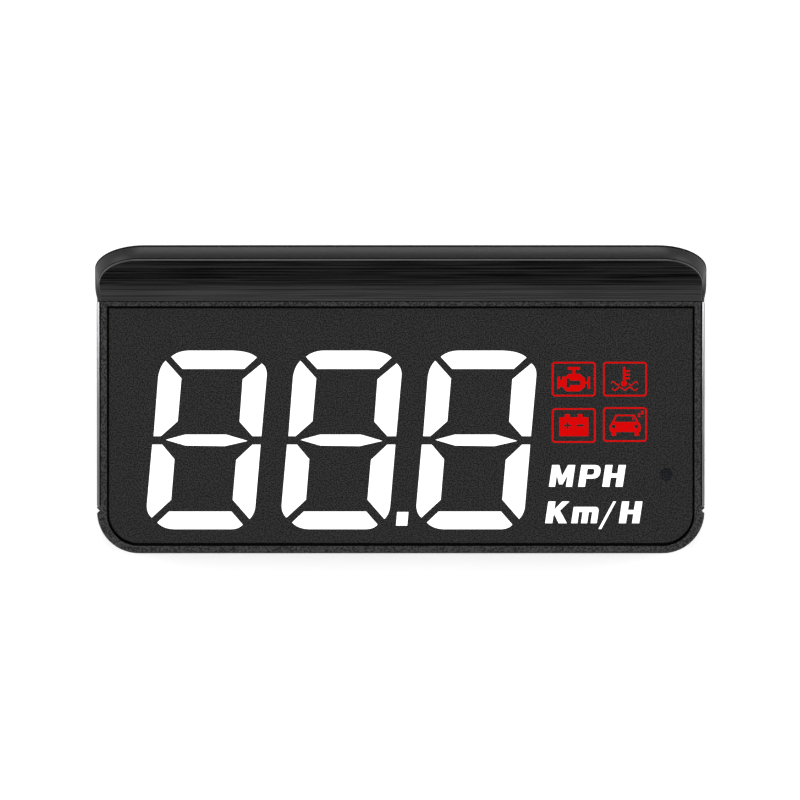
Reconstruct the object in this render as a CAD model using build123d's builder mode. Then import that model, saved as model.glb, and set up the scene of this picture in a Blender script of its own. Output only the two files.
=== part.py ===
"""Dashboard head-up speed display: a flat case, a lit panel that faces up, and a sun hood on its far edge.

Frame: +Z up with the dashboard at z = 0, the driver at -Y, the windscreen at +Y. Millimetres.
"""
import os
from math import cos, radians, sin, sqrt

from build123d import *

# ---- case ----
case_half_width = 44.74
case_front = -22.7
case_rear = 18.9
front_corner = 6.2
rear_corner = 3.0
wall = 1.5
base_bottom = 0.6
floor_top = 1.8
split_height = 4.2
lip_height = 0.8
lip_thickness = 0.6
case_top = 11.5
shelf_under = 9.1
edge_round = 0.35

# ---- panel opening, mask and what lies under it ----
opening_half_width = 43.27
opening_front = -21.6
opening_rear = 13.7
opening_corner = 4.7
groove = 0.3
front_groove = 0.42
mask_bottom = 10.15
mask_top = 11.35
ledge_half_width = 42.0
ledge_front = -20.5
ledge_rear = 12.6
diffuser_bottom = 9.95
board_bottom = 3.4
board_top = 5.0

# ---- sun hood ----
hood_front = 14.48
seam_gap = 0.12
hood_rear = 22.7
hood_half_width = 45.0
hood_seat = 10.2
hood_top = 17.0
hood_foot = 18.95
hood_seam_half_width = 44.6
scoop_radius = 7.3
scoop_start_angle = 8.0
rim_round = 1.3
corner_start = 16.9
corner_width = 5.7
plan_corner_width = 7.4
plan_corner_depth = 3.5

# ---- side trim strips and the notch below them ----
strip_thickness = 0.45
strip_front = -15.9
strip_rear = 14.36
strip_bottom = 5.0
strip_top = 11.2
notch_centre = -16.4
notch_half_width = 0.5
notch_depth = 0.4

# ---- lit figures ----
digit_slant = 0.0888
digit_starts = [-37.7, -17.85, 2.0]
digit_base = -19.13
letter_slant = 0.15
icon_width = 6.46
icon_height = 5.1
icon_line = 0.24
film_depth = 0.4
inlay_drop = 0.02
engine_place = (25.48, 2.96)
coolant_place = (33.02, 2.96)
battery_place = (25.48, -3.86)
rest_place = (33.02, -3.72)
mph_place = (21.82, -12.88)
kmh_place = (21.26, -18.25)
sensor_place = (39.1, -11.05)
window_radius = 0.98

# ---- fasteners ----
post_places = [(-40.7, -18.4), (40.7, -18.4), (-40.7, 15.0), (40.7, 15.0)]
board_screw_places = [(-33.5, 12.0), (33.5, 12.0)]
screw_radius = 0.93
pilot_radius = 0.95
board_hole_radius = 1.2

# ---- controls on the rear wall ----
socket_x = 0.0
switch_x = 26.0
switch_travel = 2.0
key_x = -26.0
control_height = 6.9
key_pivot_y = 15.9

os.makedirs("parts", exist_ok=True)


def finish(piece, name):
    """Label a finished piece and write it as a STEP of the same name."""
    piece.part.label = name
    export_step(piece.part, f"parts/{name}.step")


def plan_outline(half_width, front, rear, front_radius, rear_radius):
    """Rectangle seen from above, with its own corner radii at the front and the rear."""
    with BuildSketch() as plan:
        with Locations((0, (front + rear) / 2)):
            Rectangle(2 * half_width, rear - front)
        if front_radius:
            fillet(plan.vertices().group_by(Axis.Y)[0], front_radius)
        if rear_radius:
            fillet(plan.vertices().group_by(Axis.Y)[-1], rear_radius)
    return plan.sketch


def outline_face(strokes, slant=0.0):
    """Closed face from strokes: (end,) is a straight stroke, (control, end) a curved one, leaned by slant."""
    def lean(point):
        return (point[0] + point[1] * slant, point[1])

    with BuildSketch() as shape:
        with BuildLine():
            pen = strokes[-1][-1]
            for stroke in strokes:
                path = [lean(point) for point in (pen, *stroke)]
                if len(path) == 2:
                    Line(*path)
                else:
                    Bezier(*path)
                pen = stroke[-1]
        make_face()
    return shape.sketch


def corners(*points):
    """Turn plain corner points into straight strokes."""
    return [(point,) for point in points]


# ---- the seven segments of a digit, from its lower left corner, upright ----
top_bar = [((1.65, 25.38),), ((2.5, 26.2), (4.1, 26.29)), ((10.66, 26.29),), ((13.2, 26.2), (14.26, 25.27)),
           ((12.56, 23.6),), ((3.46, 23.6),)]
upper_left = [((0.88, 24.8),), ((0.05, 23.9), (0.0, 22.3)), ((0.1, 13.7),), ((1.15, 13.7),),
              ((3.44, 15.9),), ((3.43, 22.2),)]
upper_right = [((12.47, 22.08),), ((12.56, 15.84),), ((14.65, 13.7),), ((15.95, 13.7),),
               ((15.95, 22.65),), ((15.9, 23.8), (15.07, 24.4))]
middle_bar = corners((1.93, 13.16), (4.74, 13.93), (10.73, 13.93), (14.0, 13.0), (10.7, 12.23), (4.89, 12.32))
lower_left = [((0.0, 12.45),), ((1.46, 12.45),), ((3.46, 10.3),), ((3.5, 4.34),), ((0.88, 1.7),),
              ((0.05, 2.4), (0.0, 3.6))]
lower_right = [((15.95, 12.45),), ((14.76, 12.45),), ((12.56, 10.2),), ((12.57, 4.34),), ((15.3, 1.5),),
               ((15.95, 2.2), (15.98, 3.3))]
bottom_bar = [((3.34, 2.6),), ((12.53, 2.6),), ((14.37, 0.68),), ((13.9, 0.05), (12.8, 0.0)), ((4.37, 0.0),),
              ((2.7, 0.05), (1.77, 0.99))]
segments = [top_bar, upper_left, upper_right, middle_bar, lower_left, lower_right, bottom_bar]

with BuildSketch() as digit_sketch:
    for segment in segments:
        add(outline_face(segment, digit_slant))

digit_faces = digit_sketch.sketch
point_face = outline_face(corners((-2.75, 0.53), (-1.1, 0.53), (-1.1, 2.53), (-2.75, 2.53)), digit_slant)


# ---- unit letters, from their lower left corner, upright ----
def letter_m_capital():
    return outline_face(corners((0, 0), (0, 3.2), (1.05, 3.2), (1.7, 1.55), (2.35, 3.2), (3.4, 3.2), (3.4, 0),
                                (2.5, 0), (2.5, 1.75), (1.95, 0.35), (1.45, 0.35), (0.9, 1.75), (0.9, 0)),
                        letter_slant)


def letter_p():
    bowl = [((0, 0),), ((0, 3.2),), ((1.9, 3.2),), ((2.95, 3.2), (2.95, 2.2)), ((2.95, 1.2), (1.9, 1.2)),
            ((1.0, 1.2),), ((1.0, 0),)]
    counter = corners((1.0, 1.75), (1.85, 1.75), (2.05, 2.0), (2.05, 2.45), (1.85, 2.65), (1.0, 2.65))
    with BuildSketch() as shape:
        add(outline_face(bowl, letter_slant))
        add(outline_face(counter, letter_slant), mode=Mode.SUBTRACT)
    return shape.sketch


def letter_h():
    return outline_face(corners((0, 0), (0, 3.2), (1.05, 3.2), (1.05, 1.95), (1.95, 1.95), (1.95, 3.2),
                                (3.0, 3.2), (3.0, 0), (1.95, 0), (1.95, 1.35), (1.05, 1.35), (1.05, 0)),
                        letter_slant)


def letter_k():
    return outline_face(corners((0, 0), (0, 3.2), (1.05, 3.2), (1.05, 2.0), (2.05, 3.2), (3.1, 3.2),
                                (1.9, 1.85), (3.2, 0), (2.0, 0), (1.2, 1.25), (1.05, 1.1), (1.05, 0)),
                        letter_slant)


def letter_m_small():
    arch = [((0, 0),), ((0, 2.4),), ((3.1, 2.4),), ((3.75, 2.4), (3.75, 1.7)), ((3.75, 0),), ((2.85, 0),),
            ((2.85, 1.65),), ((2.33, 1.65),), ((2.33, 0),), ((1.43, 0),), ((1.43, 1.65),), ((0.9, 1.65),),
            ((0.9, 0),)]
    return outline_face(arch, letter_slant)


def slash():
    return outline_face(corners((0, -0.85), (0.42, -0.85), (2.6, 3.2), (2.18, 3.2)))


def word(letters, place):
    """Letters set side by side: each is (face, start)."""
    with BuildSketch() as text:
        for face, start in letters:
            with Locations((place[0] + start, place[1])):
                add(face)
    return text.sketch


mph_faces = word([(letter_m_capital(), 0.0), (letter_p(), 4.3), (letter_h(), 7.85)], mph_place)
kmh_faces = word([(letter_k(), 0.0), (letter_m_small(), 3.85), (slash(), 7.85), (letter_h(), 10.85)],
                 kmh_place)


# ---- warning icons, about the middle of their frames ----
def icon_frame():
    with BuildSketch() as frame:
        RectangleRounded(icon_width, icon_height, 0.5)
        RectangleRounded(icon_width - 2 * icon_line, icon_height - 2 * icon_line, 0.28, mode=Mode.SUBTRACT)
    return frame.sketch


def bar(left, bottom, right, top):
    """Upright rectangle between two corners."""
    return outline_face(corners((left, bottom), (right, bottom), (right, top), (left, top)))


def engine_icon():
    block = corners((-0.77, 0.78), (0.87, 0.78), (1.66, 0.07), (1.66, -1.09), (0.87, -1.79), (-1.10, -1.79),
                    (-1.72, -1.12), (-2.04, -1.06), (-2.04, -1.43), (-2.40, -1.43), (-2.40, 0.37),
                    (-2.04, 0.37), (-2.04, -0.12), (-1.72, -0.12), (-1.72, 0.37), (-1.16, 0.37))
    with BuildSketch() as icon:
        add(icon_frame())
        add(outline_face(block))
        add(bar(-0.88, 1.39, 0.89, 1.79))
        add(bar(-0.2, 0.7, 0.2, 1.45))
        add(bar(1.6, -0.66, 2.1, -0.38))
        add(bar(2.02, -1.43, 2.40, 0.35))
        add(bar(-1.05, -1.23, -0.57, 0.1), mode=Mode.SUBTRACT)
        add(bar(-0.6, -0.87, 0.98, -0.21), mode=Mode.SUBTRACT)
    return icon.sketch


def wave(crests, thickness):
    """Band of even height that follows a row of crests and troughs."""
    with BuildSketch() as band:
        with BuildLine():
            upper = Spline(*[(x, y + thickness / 2) for x, y in crests])
            lower = Spline(*[(x, y - thickness / 2) for x, y in crests])
            Line(upper @ 0, lower @ 0)
            Line(upper @ 1, lower @ 1)
        make_face()
    return band.sketch


def coolant_icon():
    with BuildSketch() as icon:
        add(icon_frame())
        add(bar(-0.3, -0.4, 0.02, 1.79))
        for tick in (1.06, 0.52, -0.02):
            add(bar(0.0, tick, 0.71, tick + 0.27))
        with Locations((-0.14, -0.64)):
            Circle(0.43)
        add(wave([(-2.05, -0.66), (-1.66, -0.40), (-1.09, -0.86), (-0.78, -0.66)], 0.2))
        add(wave([(0.55, -0.66), (0.95, -0.88), (1.52, -0.42), (1.93, -0.66)], 0.2))
        add(wave([(-1.92, -1.34), (-1.43, -1.60), (-0.75, -1.18), (-0.02, -1.60), (0.65, -1.18),
                  (1.36, -1.60), (1.84, -1.34)], 0.2))
    return icon.sketch


def battery_icon():
    with BuildSketch() as icon:
        add(icon_frame())
        add(bar(-2.15, -1.57, 2.16, 1.22))
        add(bar(-1.33, 1.2, -0.60, 1.67))
        add(bar(0.58, 1.2, 1.31, 1.67))
        add(bar(-1.45, -0.13, -0.43, 0.13), mode=Mode.SUBTRACT)
        add(bar(-1.07, -0.51, -0.81, 0.51), mode=Mode.SUBTRACT)
        add(bar(0.43, -0.15, 1.48, 0.15), mode=Mode.SUBTRACT)
    return icon.sketch


def rest_icon():
    shell = corners((-1.41, 1.45), (1.41, 1.45), (1.98, 0.36), (2.31, -0.12), (2.31, -0.86), (2.14, -1.1),
                    (2.03, -1.1), (2.03, -1.64), (1.41, -1.64), (1.41, -1.1), (-1.32, -1.1), (-1.32, -1.64),
                    (-1.95, -1.64), (-1.95, -1.1), (-2.08, -1.1), (-2.23, -0.86), (-2.23, -0.12),
                    (-1.91, 0.36))
    screen = corners((-1.24, 1.23), (1.24, 1.23), (1.69, 0.38), (-1.55, 0.38))
    nap = corners((0, 0), (0, 0.13), (0.22, 0.4), (0, 0.4), (0, 0.53), (0.42, 0.53), (0.42, 0.4),
                  (0.2, 0.13), (0.42, 0.13), (0.42, 0))
    with BuildSketch() as icon:
        add(icon_frame())
        add(outline_face(shell))
        add(outline_face(screen), mode=Mode.SUBTRACT)
        add(outline_face(corners((1.05, 1.02), (1.2, 1.02), (1.3, 0.62), (1.12, 0.62))))
        with Locations((-1.66, -0.29), (1.66, -0.29)):
            Circle(0.29, mode=Mode.SUBTRACT)
        with Locations((1.87, 1.12), (2.34, 1.5)):
            add(outline_face(nap))
    return icon.sketch


def placed(face, place):
    """A sketch moved to its place on the panel."""
    with BuildSketch() as moved:
        with Locations(place):
            add(face)
    return moved.sketch


film_pieces = {
    "engine_icon": placed(engine_icon(), engine_place),
    "coolant_icon": placed(coolant_icon(), coolant_place),
    "battery_icon": placed(battery_icon(), battery_place),
    "rest_icon": placed(rest_icon(), rest_place),
    "mph_label": mph_faces,
    "kmh_label": kmh_faces,
}
window_pieces = {"decimal_point": placed(point_face, (digit_starts[2], digit_base))}
for number, start in enumerate(digit_starts, 1):
    window_pieces[f"digit_{number}_segments"] = placed(digit_faces, (start, digit_base))


def notch_faces():
    """Two small V notches, one in each side of the case, seen from above."""
    with BuildSketch() as notches:
        for side in (-1, 1):
            outside = side * (case_half_width + 0.1)
            add(outline_face(corners((outside, notch_centre - notch_half_width),
                                     (side * (case_half_width - notch_depth), notch_centre),
                                     (outside, notch_centre + notch_half_width))))
    return notches.sketch


# ---- base shell: the tray that carries the board ----
foot_places = [(-33, -17), (33, -17), (-33, 13.5), (33, 13.5)]
foot_length = 11.0
foot_width = 4.5
foot_top = 1.0
inner_half_width = case_half_width - 1.9
inner_front = case_front + wall
inner_rear = case_rear - wall

with BuildPart() as base_shell:
    with BuildSketch(Plane.XY.offset(base_bottom)):
        add(plan_outline(case_half_width, case_front, case_rear, front_corner, rear_corner))
    extrude(amount=split_height - base_bottom)
    chamfer(base_shell.edges().group_by(Axis.Z)[0], 0.8)
    with BuildSketch(Plane.XY.offset(floor_top)):
        add(plan_outline(inner_half_width, inner_front, inner_rear, front_corner - wall, rear_corner - wall))
    extrude(amount=split_height - floor_top, mode=Mode.SUBTRACT)
    with BuildSketch(Plane.XY.offset(split_height - 1.0)):
        add(plan_outline(inner_half_width + lip_thickness, inner_front - lip_thickness,
                         inner_rear + lip_thickness, front_corner - wall + lip_thickness,
                         rear_corner - wall + lip_thickness))
        add(plan_outline(inner_half_width, inner_front, inner_rear, front_corner - wall, rear_corner - wall),
            mode=Mode.SUBTRACT)
    extrude(amount=1.0 + lip_height)
    with BuildSketch(Plane.XY.offset(floor_top - 0.2)):
        with Locations(*post_places):
            Circle(2.9)
        with Locations(*board_screw_places):
            Circle(2.2)
    extrude(amount=board_bottom - floor_top + 0.2)
    with BuildSketch(Plane.XY.offset(base_bottom)):
        add(plan_outline(case_half_width + 5, case_front - 5, case_rear + 5, 0, 0))
        add(plan_outline(case_half_width, case_front, case_rear, front_corner, rear_corner), mode=Mode.SUBTRACT)
    extrude(amount=split_height, mode=Mode.SUBTRACT)
    with Locations(*[(x, y, base_bottom) for x, y in post_places]):
        Cylinder(2.0, 1.4, align=(Align.CENTER, Align.CENTER, Align.MIN), mode=Mode.SUBTRACT)
        Cylinder(1.1, 4.0, align=(Align.CENTER, Align.CENTER, Align.MIN), mode=Mode.SUBTRACT)
    with Locations(*[(x, y, floor_top) for x, y in board_screw_places]):
        Cylinder(pilot_radius, 3.0, align=(Align.CENTER, Align.CENTER, Align.MIN), mode=Mode.SUBTRACT)
    with BuildSketch(Plane.XY.offset(base_bottom)):
        with Locations(*foot_places):
            RectangleRounded(foot_length, foot_width, 1.0)
    extrude(amount=foot_top - base_bottom, mode=Mode.SUBTRACT)
    with BuildSketch(Plane.XY.offset(base_bottom)):
        with GridLocations(2.4, 0, 9, 1):
            SlotOverall(9.0, 1.0, rotation=90)
    extrude(amount=2.0, mode=Mode.SUBTRACT)
    with BuildSketch(Plane.XY.offset(base_bottom)):
        add(notch_faces())
    extrude(amount=4.0, mode=Mode.SUBTRACT)
finish(base_shell, "base_shell")

# ---- rubber feet ----
with BuildPart() as rubber_feet:
    with BuildSketch():
        with Locations(*foot_places):
            RectangleRounded(foot_length - 0.2, foot_width - 0.2, 0.9)
    extrude(amount=foot_top)
    chamfer(rubber_feet.edges().group_by(Axis.Z)[0], 0.2)
finish(rubber_feet, "rubber_feet")

# ---- upper case: the frame round the panel and the shelf under the hood ----
socket_opening = (8.4, 4.4)
switch_opening = (5.0, 2.0)
key_opening = (3.8, 2.5)
socket_height = board_top + 1.95
lip_gap = 0.08
peg_places = [(x, 16.6) for x in (-34, -12, 12, 34)]

with BuildPart() as upper_case:
    with BuildSketch(Plane.XY.offset(split_height)):
        add(plan_outline(case_half_width, case_front, case_rear, front_corner, rear_corner))
    extrude(amount=case_top - split_height)
    fillet(upper_case.edges().group_by(Axis.Z)[-1], edge_round)
    with BuildSketch(Plane.XY.offset(split_height)):
        add(plan_outline(inner_half_width, inner_front, inner_rear, front_corner - wall, rear_corner - wall))
    extrude(amount=shelf_under - split_height, mode=Mode.SUBTRACT)
    with BuildSketch(Plane.XY.offset(split_height)):
        lip = lip_thickness + lip_gap
        add(plan_outline(inner_half_width + lip, inner_front - lip, inner_rear + lip,
                         front_corner - wall + lip, rear_corner - wall + lip))
    extrude(amount=lip_height + lip_gap, mode=Mode.SUBTRACT)
    with BuildSketch(Plane.XY.offset(board_top)):
        for x, y in post_places:
            with Locations((x, y)):
                Circle(1.8)
            with Locations((x + (1.6 if x > 0 else -1.6), y)):
                Rectangle(2.4, 1.2)
    extrude(amount=shelf_under - board_top + 0.3)
    with BuildSketch(Plane.XY.offset(shelf_under)):
        add(plan_outline(ledge_half_width, ledge_front, ledge_rear, front_corner - wall - 0.7, 0.8))
    extrude(amount=mask_bottom - shelf_under, mode=Mode.SUBTRACT)
    with BuildSketch(Plane.XY.offset(mask_bottom)):
        add(plan_outline(opening_half_width, opening_front, opening_rear, opening_corner, 0))
    extrude(amount=case_top - mask_bottom, mode=Mode.SUBTRACT)
    with BuildSketch(Plane.XY.offset(hood_seat)):
        with Locations((0, (hood_front - seam_gap + case_rear + 1) / 2)):
            Rectangle(2 * case_half_width + 2, case_rear + 1 - hood_front + seam_gap)
    extrude(amount=case_top - hood_seat + 1, mode=Mode.SUBTRACT)
    with Locations(*[(x, y, board_top) for x, y in post_places]):
        Cylinder(pilot_radius, 3.6, align=(Align.CENTER, Align.CENTER, Align.MIN), mode=Mode.SUBTRACT)
    with Locations(*[(x, y, shelf_under) for x, y in peg_places]):
        Cylinder(1.05, 2.0, align=(Align.CENTER, Align.CENTER, Align.MIN), mode=Mode.SUBTRACT)
    with BuildSketch(Plane.XY.offset(strip_bottom)):
        for side in (-1, 1):
            with Locations((side * (case_half_width + 1 - strip_thickness), (strip_front + strip_rear) / 2)):
                Rectangle(2.0, strip_rear - strip_front)
    extrude(amount=case_top, mode=Mode.SUBTRACT)
    with BuildSketch(Plane.XY.offset(split_height)):
        add(notch_faces())
    extrude(amount=case_top, mode=Mode.SUBTRACT)
    with BuildSketch(Plane.XZ.offset(-case_rear - 1)):
        with Locations((socket_x, socket_height)):
            RectangleRounded(*socket_opening, 0.6)
        with Locations((switch_x, control_height)):
            RectangleRounded(*switch_opening, 0.3)
        with Locations((key_x, control_height)):
            RectangleRounded(*key_opening, 0.4)
    extrude(amount=wall + 1.5, mode=Mode.SUBTRACT)
finish(upper_case, "upper_case")

# ---- side trim strips ----
for side, name in ((-1, "left_trim_strip"), (1, "right_trim_strip")):
    with BuildPart() as trim_strip:
        with BuildSketch(Plane.XY.offset(strip_bottom)):
            with Locations((side * (case_half_width - strip_thickness / 2), (strip_front + strip_rear) / 2)):
                Rectangle(strip_thickness, strip_rear - strip_front - 0.1)
        extrude(amount=strip_top - strip_bottom)
        outer_edges = trim_strip.edges().filter_by(Axis.Y).sort_by(lambda edge: side * edge.center().X)[-2:]
        fillet(outer_edges, 0.2)
    finish(trim_strip, name)

# ---- display mask: the dark panel, pierced where a figure is lit ----
with BuildPart() as display_mask:
    with BuildSketch(Plane.XY.offset(mask_bottom)):
        add(plan_outline(opening_half_width - groove, opening_front + front_groove, opening_rear - groove,
                         opening_corner - groove, 0))
    extrude(amount=mask_top - mask_bottom)
    chamfer(display_mask.edges().group_by(Axis.Z)[-1], 0.06)
    with BuildSketch(Plane.XY.offset(mask_bottom)):
        for face in window_pieces.values():
            add(face)
        with Locations(sensor_place):
            Circle(window_radius)
    extrude(amount=mask_top - mask_bottom, mode=Mode.SUBTRACT)
    with BuildSketch(Plane.XY.offset(mask_top - film_depth)):
        for face in film_pieces.values():
            add(face)
    extrude(amount=film_depth, mode=Mode.SUBTRACT)
finish(display_mask, "display_mask")

# ---- lit figures: clear inlays, through the mask for the digits, in shallow pockets for the small signs ----
for pieces, depth in ((window_pieces, mask_top - mask_bottom), (film_pieces, film_depth)):
    for name, face in pieces.items():
        with BuildPart() as inlay:
            with BuildSketch(Plane.XY.offset(mask_top - depth)):
                add(face)
            extrude(amount=depth - inlay_drop)
        finish(inlay, name)

# ---- light sensor behind its tinted window ----
sensor_body_top = 9.75
with BuildPart() as sensor_window:
    with Locations((*sensor_place, mask_bottom + 0.65)):
        Cylinder(window_radius, 0.5, align=(Align.CENTER, Align.CENTER, Align.MIN))
finish(sensor_window, "sensor_window")

with BuildPart() as light_sensor:
    with Locations((*sensor_place, sensor_body_top - 1.6)):
        Cylinder(1.9, 1.6, align=(Align.CENTER, Align.CENTER, Align.MIN))
    with BuildSketch(Plane.XY.offset(sensor_body_top - 0.12)):
        with Locations(sensor_place):
            Circle(1.75)
            Circle(1.45, mode=Mode.SUBTRACT)
    extrude(amount=0.12, mode=Mode.SUBTRACT)
finish(light_sensor, "light_sensor")

with BuildPart() as sensor_leads:
    with Locations(*[(sensor_place[0], sensor_place[1] + side * 1.0, board_top) for side in (-1, 1)]):
        Cylinder(0.22, sensor_body_top - 1.6 - board_top, align=(Align.CENTER, Align.CENTER, Align.MIN))
finish(sensor_leads, "sensor_leads")

track_turns = 5
track_pitch = 0.36
track_half_length = 0.62
with BuildPart() as sensor_track:
    with BuildSketch(Plane.XY.offset(sensor_body_top)):
        first = -(track_turns - 1) / 2 * track_pitch
        for turn in range(track_turns):
            x = sensor_place[0] + first + turn * track_pitch
            with Locations((x, sensor_place[1])):
                Rectangle(0.17, 2 * track_half_length)
            if turn < track_turns - 1:
                end = track_half_length if turn % 2 == 0 else -track_half_length
                with Locations((x + track_pitch / 2, sensor_place[1] + end)):
                    Rectangle(track_pitch + 0.17, 0.17)
    extrude(amount=0.05)
finish(sensor_track, "sensor_track")

# ---- diffuser sheet and light box ----
box_left = -38.9
box_right = 37.0
box_front = -20.3
box_rear = 8.8
pin_places = [(-38.1, 8.0), (36.2, 8.0), (36.2, -19.5), (-19.8, -19.6)]

with BuildPart() as diffuser_sheet:
    with BuildSketch(Plane.XY.offset(diffuser_bottom)):
        with Locations(((box_left + box_right) / 2, (box_front + box_rear) / 2)):
            Rectangle(box_right - box_left, box_rear - box_front)
    extrude(amount=mask_bottom - diffuser_bottom)
finish(diffuser_sheet, "diffuser_sheet")

with BuildPart() as light_box:
    with BuildSketch(Plane.XY.offset(board_top)):
        with Locations(((box_left + box_right) / 2, (box_front + box_rear) / 2)):
            Rectangle(box_right - box_left, box_rear - box_front)
    extrude(amount=diffuser_bottom - board_top)
    with BuildSketch(Plane.XY.offset(board_top)):
        for start in digit_starts:
            add(placed(digit_faces, (start, digit_base)))
        add(placed(point_face, (digit_starts[2], digit_base)))
        with Locations(engine_place, coolant_place, battery_place, rest_place):
            Rectangle(icon_width - 0.4, icon_height - 0.4)
        with Locations((27.6, -11.3), (28.4, -16.7)):
            Rectangle(12.4, 3.6)
    extrude(amount=diffuser_bottom - board_top, mode=Mode.SUBTRACT)
    with BuildSketch(Plane.XY.offset(board_bottom - 0.3)):
        with Locations(*pin_places):
            Circle(0.6)
    extrude(amount=board_top - board_bottom + 0.3)
finish(light_box, "light_box")

# ---- main board ----
with BuildPart() as main_board:
    with BuildSketch(Plane.XY.offset(board_bottom)):
        add(plan_outline(inner_half_width - 0.4, inner_front + 0.4, inner_rear - 0.4, 3.5, 1.0))
        with Locations(*post_places, *board_screw_places):
            Circle(board_hole_radius, mode=Mode.SUBTRACT)
        with Locations(*pin_places):
            Circle(0.62, mode=Mode.SUBTRACT)
    extrude(amount=board_top - board_bottom)
finish(main_board, "main_board")

# ---- light emitting diodes in the wells ----
led_height = 0.7
digit_led_places = []
for start in digit_starts:
    for face in digit_faces.faces():
        centre = face.center()
        digit_led_places.append((start + centre.X, digit_base + centre.Y))
digit_led_places.append((digit_starts[2] - 1.8, digit_base + 1.55))
with BuildPart() as digit_leds:
    with BuildSketch(Plane.XY.offset(board_top)):
        with Locations(*digit_led_places):
            Rectangle(1.3, 0.75)
    extrude(amount=led_height)
finish(digit_leds, "digit_leds")

with BuildPart() as icon_leds:
    with BuildSketch(Plane.XY.offset(board_top)):
        with Locations(engine_place, coolant_place, battery_place, rest_place, (24.6, -11.3), (30.6, -11.3),
                       (25.0, -16.7), (31.6, -16.7)):
            Rectangle(1.6, 0.8)
    extrude(amount=led_height)
finish(icon_leds, "icon_leds")


# ---- electronics ----
def block(length, width, height, place):
    """A plain moulded package standing on its place, with softened top edges."""
    with BuildPart() as package:
        with Locations(place):
            Box(length, width, height, align=(Align.CENTER, Align.CENTER, Align.MIN))
        chamfer(package.edges().group_by(Axis.Z)[-1], min(0.15, height / 6))
    return package


chip_height = 1.1
chip_bottom = board_bottom - chip_height
controller_place = (-12.0, -4.0)
driver_place = (12.0, -4.0)
controller_size = 7.0
driver_length = 9.9
driver_width = 3.9

with BuildPart() as microcontroller:
    with Locations((*controller_place, chip_bottom)):
        Box(controller_size, controller_size, 1.0, align=(Align.CENTER, Align.CENTER, Align.MIN))
    chamfer(microcontroller.edges().group_by(Axis.Z)[0], 0.15)
finish(microcontroller, "microcontroller")

with BuildPart() as led_driver:
    with Locations((*driver_place, chip_bottom)):
        Box(driver_length, driver_width, 1.0, align=(Align.CENTER, Align.CENTER, Align.MIN))
    chamfer(led_driver.edges().group_by(Axis.Z)[0], 0.15)
finish(led_driver, "led_driver")

with BuildPart() as chip_pins:
    with BuildSketch(Plane.XY.offset(board_bottom - 0.4)):
        reach = controller_size / 2 + 0.5
        with Locations(controller_place):
            with GridLocations(0.8, 2 * reach, 8, 2):
                Rectangle(0.35, 0.9)
            with GridLocations(2 * reach, 0.8, 2, 8):
                Rectangle(0.9, 0.35)
        with Locations(driver_place):
            with GridLocations(1.27, driver_width + 1.0, 8, 2):
                Rectangle(0.4, 0.9)
    extrude(amount=0.4)
finish(chip_pins, "chip_pins")

finish(block(6.5, 3.5, 1.6, (24.5, 11.2, board_top)), "voltage_regulator")
finish(block(4.6, 5.0, 2.6, (7.0, 14.4, board_top)), "power_inductor")
finish(block(7.0, 3.2, 1.4, (-16.5, 11.2, board_top)), "clock_crystal")

with BuildPart() as capacitors:
    with Locations((-8.0, 14.6, board_top), (-13.4, 15.0, board_top)):
        Cylinder(2.1, 3.4, align=(Align.CENTER, Align.CENTER, Align.MIN))
    fillet(capacitors.edges().group_by(Axis.Z)[-1], 0.3)
finish(capacitors, "capacitors")

with BuildPart() as chip_resistors:
    with BuildSketch(Plane.XY.offset(board_bottom - 0.55)):
        with Locations((-28, -6), (26, -6)):
            with GridLocations(2.2, 3.4, 6, 3):
                Rectangle(0.85, 1.6)
    extrude(amount=0.55)
finish(chip_resistors, "chip_resistors")

with BuildPart() as buzzer:
    with Locations((14.2, 13.1, board_top)):
        Cylinder(4.0, 3.2, align=(Align.CENTER, Align.CENTER, Align.MIN))
    fillet(buzzer.edges().group_by(Axis.Z)[-1], 0.4)
    with Locations((14.2, 13.1, board_top + 2.0)):
        Cylinder(0.9, 1.5, align=(Align.CENTER, Align.CENTER, Align.MIN), mode=Mode.SUBTRACT)
finish(buzzer, "buzzer")

# ---- power socket: a small five-contact data and power inlet ----
socket_front = 18.3
socket_back = 9.5
shell_wall = 0.3


def socket_profile(inset):
    """Inlet outline seen from behind: wide above, stepped in below."""
    top = board_top + 3.9 - inset
    bottom = board_top + inset
    wide = 3.85 - inset
    narrow = 3.3 - inset
    with BuildSketch(Plane.XZ.offset(-socket_front)) as profile:
        with BuildLine():
            Polyline((-wide, top), (wide, top), (wide, bottom + 1.9), (narrow, bottom + 1.2),
                     (narrow, bottom), (-narrow, bottom), (-narrow, bottom + 1.2), (-wide, bottom + 1.9),
                     close=True)
        make_face()
    return profile.sketch


with BuildPart() as socket_shell:
    extrude(socket_profile(0.0), amount=socket_front - socket_back)
    extrude(socket_profile(shell_wall), amount=socket_front - socket_back - shell_wall, mode=Mode.SUBTRACT)
finish(socket_shell, "socket_shell")

tongue_width = 4.4
tongue_bottom = board_top + 1.75
tongue_thickness = 0.8
with BuildPart() as socket_insulator:
    with Locations((socket_x, socket_back + shell_wall, board_top + shell_wall + 0.02)):
        Box(5.8, 1.6, 3.2, align=(Align.CENTER, Align.MIN, Align.MIN))
    with Locations((socket_x, socket_back + shell_wall, tongue_bottom)):
        Box(tongue_width, 7.3, tongue_thickness, align=(Align.CENTER, Align.MIN, Align.MIN))
finish(socket_insulator, "socket_insulator")

with BuildPart() as socket_contacts:
    with BuildSketch(Plane.XY.offset(tongue_bottom - 0.12)):
        with Locations((socket_x, socket_back + 5.0)):
            with GridLocations(0.8, 0, 5, 1):
                Rectangle(0.36, 5.0)
    extrude(amount=0.12)
finish(socket_contacts, "socket_contacts")

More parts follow.
